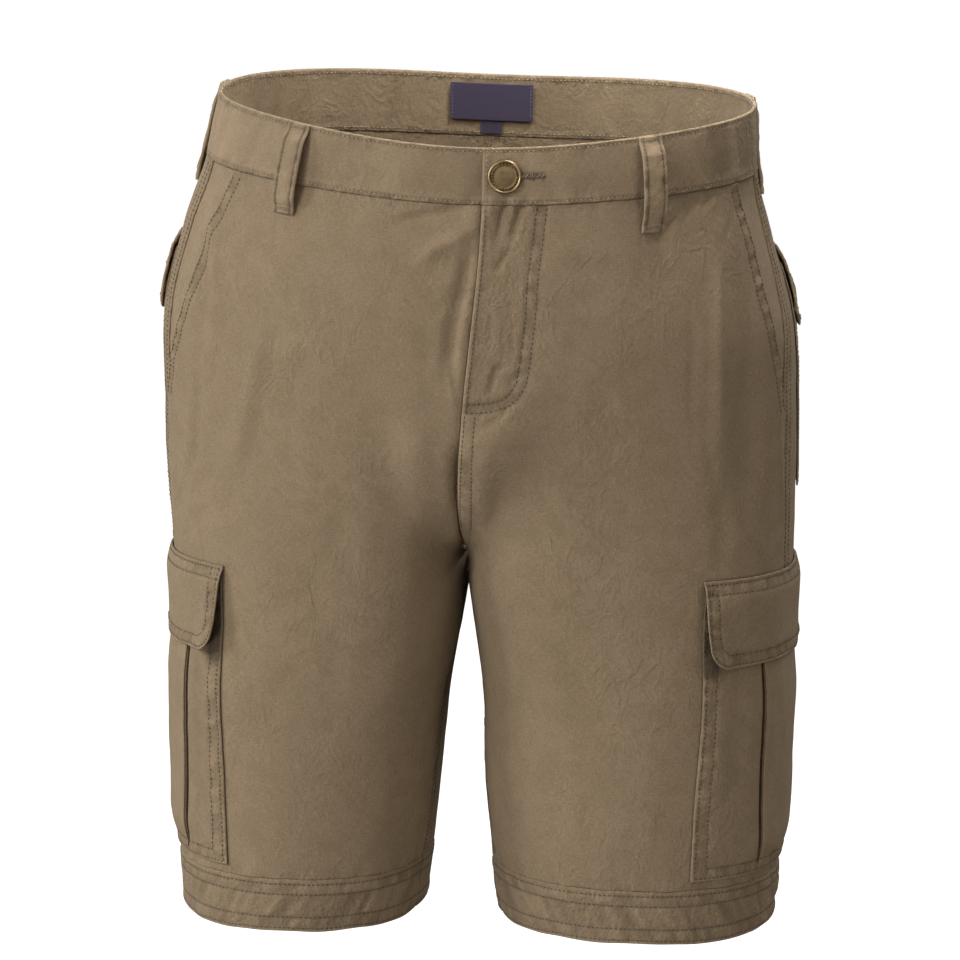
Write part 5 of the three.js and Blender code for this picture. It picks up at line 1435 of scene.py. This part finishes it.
# ------------------------------------------------------------------ rows of topstitching
for side in (1, -1):
    hand = "left" if side > 0 else "right"
    fp, bp = pieces["front_panel_" + hand], pieces["back_panel_" + hand]
    g = "stitches_front_" + hand
    zr = np.linspace(-22, -164, 150)
    m = mouth(zr)
    for inset in (ROW, ROW + TWIN):
        sew(g, fp, m - inset, zr)
    # under the mouth's foot
    sew(g, fp, np.linspace(-ROW - TWIN, -0.8, 10), np.full(10, -160.0))
    if side > 0:
        edge = np.interp
        front0 = lambda z: np.interp(z, fp.Z, fp.edge0)
        zj, cj = J_OUTER["z"][::-1], J_OUTER["c"][::-1]
        t = np.concatenate([[0], np.cumsum(np.hypot(np.diff(zj), np.diff(cj)))])
        tt = np.linspace(0, t[-1] - 1.2, 180)
        z1, c1 = np.interp(tt, t, zj), np.interp(tt, t, cj)
        sew(g, fp, front0(z1) + c1, z1)
        # the inner row, TWIN inside the outer one
        dz, dc = np.gradient(z1), np.gradient(c1)
        n = np.hypot(dz, dc)
        z2, c2 = z1 - dc / n * 6.0, c1 + dz / n * 6.0
        keep = (c2 > 1.0) & (z2 < -19.5)
        sew(g, fp, front0(z2[keep]) + c2[keep], z2[keep])
        zc = np.linspace(-20.5, -157, 150)
        sew(g, fp, front0(zc) + 2.4, zc)
        zc = np.linspace(-158, -236, 90)
        for inset in (ROW, ROW + TWIN):
            sew(g, fp, front0(zc) + inset, zc)
    # side seam and seat, on the back panels
    g = "stitches_seat_" + hand
    zs = np.linspace(-21, -455, 380)
    for inset in (ROW, ROW + TWIN):
        sew(g, bp, np.full(len(zs), inset), zs)
    if side > 0:
        zs = np.linspace(-21, -236, 200)
        last = np.interp(zs, bp.Z, bp.D[:, -1])
        for inset in (ROW, ROW + TWIN):
            sew(g, bp, last - inset, zs)
    zs = np.linspace(-268, -455, 170)
    last = np.interp(zs, bp.Z, bp.D[:, -1])
    for inset in (ROW, ROW + TWIN):
        sew(g, bp, last - inset, zs)
    # back pocket
    k = pieces["back_pocket_" + hand]
    B = BACK_POCKET
    for inset in (ROW, ROW + TWIN):
        zs = np.linspace(B["top"] - 2, B["bottom"] + inset, 110)
        xs = np.linspace(B["front"] + inset, B["back"] - inset, 110)
        sew("stitches_back_" + hand, k, np.full(110, B["front"] + inset), zs)
        sew("stitches_back_" + hand, k, xs, np.full(110, B["bottom"] + inset))
        sew("stitches_back_" + hand, k, np.full(110, B["back"] - inset), zs)
    # cargo pocket: on the flat margins beside the pleat
    k = pieces["cargo_pocket_" + hand]
    K = POCKET
    order = np.arange(len(k.cols))

    def on_pocket(group, ii, zz_):
        j = np.interp(zz_, k.Z, np.arange(len(k.Z)))
        i0 = np.clip(np.floor(ii).astype(int), 0, len(order) - 2)
        j0 = np.clip(np.floor(j).astype(int), 0, len(k.Z) - 2)
        a, b = (ii - i0)[:, None], (j - j0)[:, None]
        look = lambda G: mix(mix(G[j0, i0], G[j0, i0 + 1], a), mix(G[j0 + 1, i0], G[j0 + 1, i0 + 1], a), b)
        lines.setdefault(group, []).append((look(k.outer), unit(look(k.N))))
    g = "stitches_cargo_" + hand
    half_n = len(order) // 2
    for inset in (ROW, ROW + TWIN):
        zs = np.linspace(K["top"] - 2, K["bottom"] + inset, 170)
        i_f = float(np.interp(K["front"] + inset, k.cols[:20], order[:20]))
        i_b = float(np.interp(K["back"] - inset, k.cols[-20:], order[-20:]))
        on_pocket(g, np.full(170, i_f), zs)
        on_pocket(g, np.full(170, i_b), zs)
        on_pocket(g, np.linspace(i_f, i_b, 260), np.full(260, K["bottom"] + inset))
    # hem
    k = pieces["hem_band_" + hand]
    g = "stitches_hem_" + hand
    m_ = k.outer.shape[1]
    for up in (2.0, 9.5, 24.5, 31.0):
        j = np.interp(up + Z_HEM, k.Z, np.arange(len(k.Z)))
        j0 = int(j)
        b = j - j0
        Pr = mix(k.outer[j0], k.outer[j0 + 1], b)
        Nr = unit(mix(k.N[j0], k.N[j0 + 1], b))
        lines.setdefault(g, []).append((np.concatenate([Pr, Pr[:1]]), np.concatenate([Nr, Nr[:1]])))

# waistband: one row above the seam and one under the top edge, seen on both faces
zz_low, zz_high = ZB[0] + 2.3, ZB[-1] - 2.5
runs = np.linspace(1.2, total_run - 1.0, 900)
for zl in (zz_low, zz_high):
    sew("stitches_waist", band, runs, np.full(900, zl))
backs = np.linspace(total_run * 0.18, total_run * 0.82, 620)
for zl in (zz_low + 0.4, zz_high):
    sew("stitches_waist", band, backs, np.full(620, zl), inner=True)
# overlap end
zs = np.linspace(zz_low + 1.5, zz_high - 1.5, 30)
sew("stitches_waist", band, np.full(30, 2.2), zs)

# buttonhole: close bars along both lips and across its end
level = BUTTON["level"]
r = np.random.RandomState(5)
x_ = BUTTON["front"] + 8.0
turn = 1
while x_ < BUTTON["slit"] - 0.5:
    # loops of thick thread laid over each other from lip to lip
    reach = r.uniform(1.5, 2.9)
    tilt = r.uniform(0.5, 1.4)
    y_ = level + r.uniform(-0.25, 0.25)
    Pp, Nn = band.point([x_ - tilt, x_, x_ + tilt], [y_ - turn * reach, y_, y_ + turn * reach])
    lines.setdefault("buttonhole", []).append((Pp + Nn * (0.55 + 0.45 * (turn > 0)), Nn))
    turn = -turn
    x_ += r.uniform(0.8, 1.5)
for a in np.linspace(-1.2, 1.2, 4):
    Pp, Nn = band.point([BUTTON["slit"] - 1.0 + 0.2 * cos(a), BUTTON["slit"] - 1.0 + 1.3 * cos(a), BUTTON["slit"] - 1.0 + 2.2 * cos(a)], [level + 0.3 * sin(a), level + 1.2 * sin(a), level + 2.0 * sin(a)])
    lines.setdefault("buttonhole", []).append((Pp + Nn * 0.3, Nn))

SEWN = [  # group, material, length and gap of a stitch, thread's half width
    *[(f"stitches_{k}_{h}", "thread", 2.2, 0.75, 0.37) for k in ("front", "seat", "back", "cargo", "hem") for h in ("left", "right")],
    ("stitches_waist", "light", 2.0, 0.75, 0.30),
    ("stitches_band", "thread", 1.9, 0.5, 0.29),
    ("bartacks", "dark", 1.4, 0.1, 0.26),
    ("stitches_label", "purl", 1.6, 0.5, 0.2),
    ("buttonhole", "bar", 4.6, 0.0, 0.52),
]
sewn = {}
for seed, (g, m, length, gap, radius) in enumerate(SEWN):
    o = build_stitches(g, MATERIAL[m], radius, length, gap, seed + 3)
    if o:
        sewn[g] = o

# ------------------------------------------------------------------ floor, backdrop and light
def stage_mesh(name, verts, quads, colour, glow):
    n = Net(name)
    speck = n.noise(n.add("ShaderNodeTexCoord").outputs["Object"], 3.0, 2)
    n.surface(inputs={"Base Color": n.blend(rgb(*colour, 0.985), rgb(*colour, 1.0), speck), "Roughness": 0.9, "Specular IOR Level": 0.0, "Emission Color": rgb(1, 1, 1), "Emission Strength": glow})
    o = mesh_object(name, verts, quads, n.m)
    # seen by the camera, but the light on the cloth is the lamps' and the world's
    o.visible_diffuse = o.visible_glossy = o.visible_shadow = o.visible_transmission = False
    return o


n_ = 24
xs = np.linspace(-16000, 16000, n_)
X, Y = np.meshgrid(xs, xs)
idx = np.arange(n_ * n_).reshape(n_, n_)
stage_mesh("floor", np.stack([X.ravel(), Y.ravel(), np.full(n_ * n_, -1000.0)], -1), np.stack([idx[:-1, :-1], idx[:-1, 1:], idx[1:, 1:], idx[1:, :-1]], -1).reshape(-1, 4), (0.30, 0.30, 0.30), 0.97)
lon, lat = np.meshgrid(np.linspace(0, 2 * pi, 49)[:-1], np.linspace(-0.2, pi / 2 - 0.02, 16))
idx = np.arange(lon.size).reshape(lon.shape)
nx = np.roll(idx, -1, 1)
stage_mesh("backdrop", 14000.0 * np.stack([np.cos(lat) * np.cos(lon), np.cos(lat) * np.sin(lon), np.sin(lat)], -1).reshape(-1, 3), np.stack([idx[:-1], idx[1:], nx[1:], nx[:-1]], -1).reshape(-1, 4), (0.05, 0.05, 0.05), 1.04)


def area_light(name, place, towards, size, power, colour=(1, 1, 1)):
    d = bpy.data.lights.new(name, "AREA")
    d.shape, d.size, d.size_y = "RECTANGLE", size[0], size[1]
    d.energy, d.color = power, colour
    o = bpy.data.objects.new(name, d)
    bpy.context.scene.collection.objects.link(o)
    aim(o, place, towards)
    return o


LIGHTS = [  # name, place, size, power
    ("key", (-2.0, -2.2, 1.7), (0.9, 0.9), 48, (1.0, 0.985, 0.96)),
    ("left", (-3.0, -0.7, 0.8), (0.8, 1.4), 52, (1.0, 0.985, 0.965)),
    ("front", (0.3, -3.2, 1.6), (1.4, 1.2), 9, (1.0, 0.975, 0.94)),
    ("right", (2.3, -1.7, 1.7), (1.2, 1.2), 10, (1.0, 0.90, 0.79)),
    ("back", (1.7, 2.6, 1.5), (1.6, 1.6), 44, (1.0, 0.985, 0.96)),
    ("back_left", (-1.9, 2.3, 1.0), (1.4, 1.4), 30, (1.0, 0.98, 0.95)),
    ("low", (-1.6, -2.2, -1.1), (1.2, 1.0), 24, (1.0, 0.975, 0.94)),
    ("low_right", (1.5, -1.5, -1.6), (1.2, 1.0), 9, (1.0, 0.95, 0.88)),
    ("top", (1.0, -0.3, 2.5), (1.0, 1.0), 14, (1.0, 0.98, 0.95)),
]
for name, place_, size, power, colour in LIGHTS:
    area_light(name, place_, (0, 0, -0.22), size, power, colour).visible_camera = False
# the inside of the waist is lit from above, as the photograph's is
area_light("inside", (0.12, -0.06, 0.30), (-0.16, 0.05, 0.0), (0.14, 0.14), 1.7, (1.0, 0.97, 0.93)).visible_camera = False

world = bpy.data.worlds.new("studio")
bpy.context.scene.world = world
world.use_nodes = True
bg = world.node_tree.nodes.get("Background") or world.node_tree.nodes.new("ShaderNodeBackground")
bg.inputs["Color"].default_value = (1, 0.94, 0.86, 1)
bg.inputs["Strength"].default_value = 0.15
bpy.context.scene.view_settings.view_transform = "Standard"
bpy.context.scene.view_settings.look = "None"

# ------------------------------------------------------------------ triangle count
count = {o.name: sum(len(p.vertices) - 2 for p in o.data.polygons) for o in bpy.data.objects if o.type == "MESH" and not o.get("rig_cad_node") and o.name not in ("floor", "backdrop")}
print("triangles", sum(count.values()), sorted(count.items(), key=lambda k: -k[1])[:14])
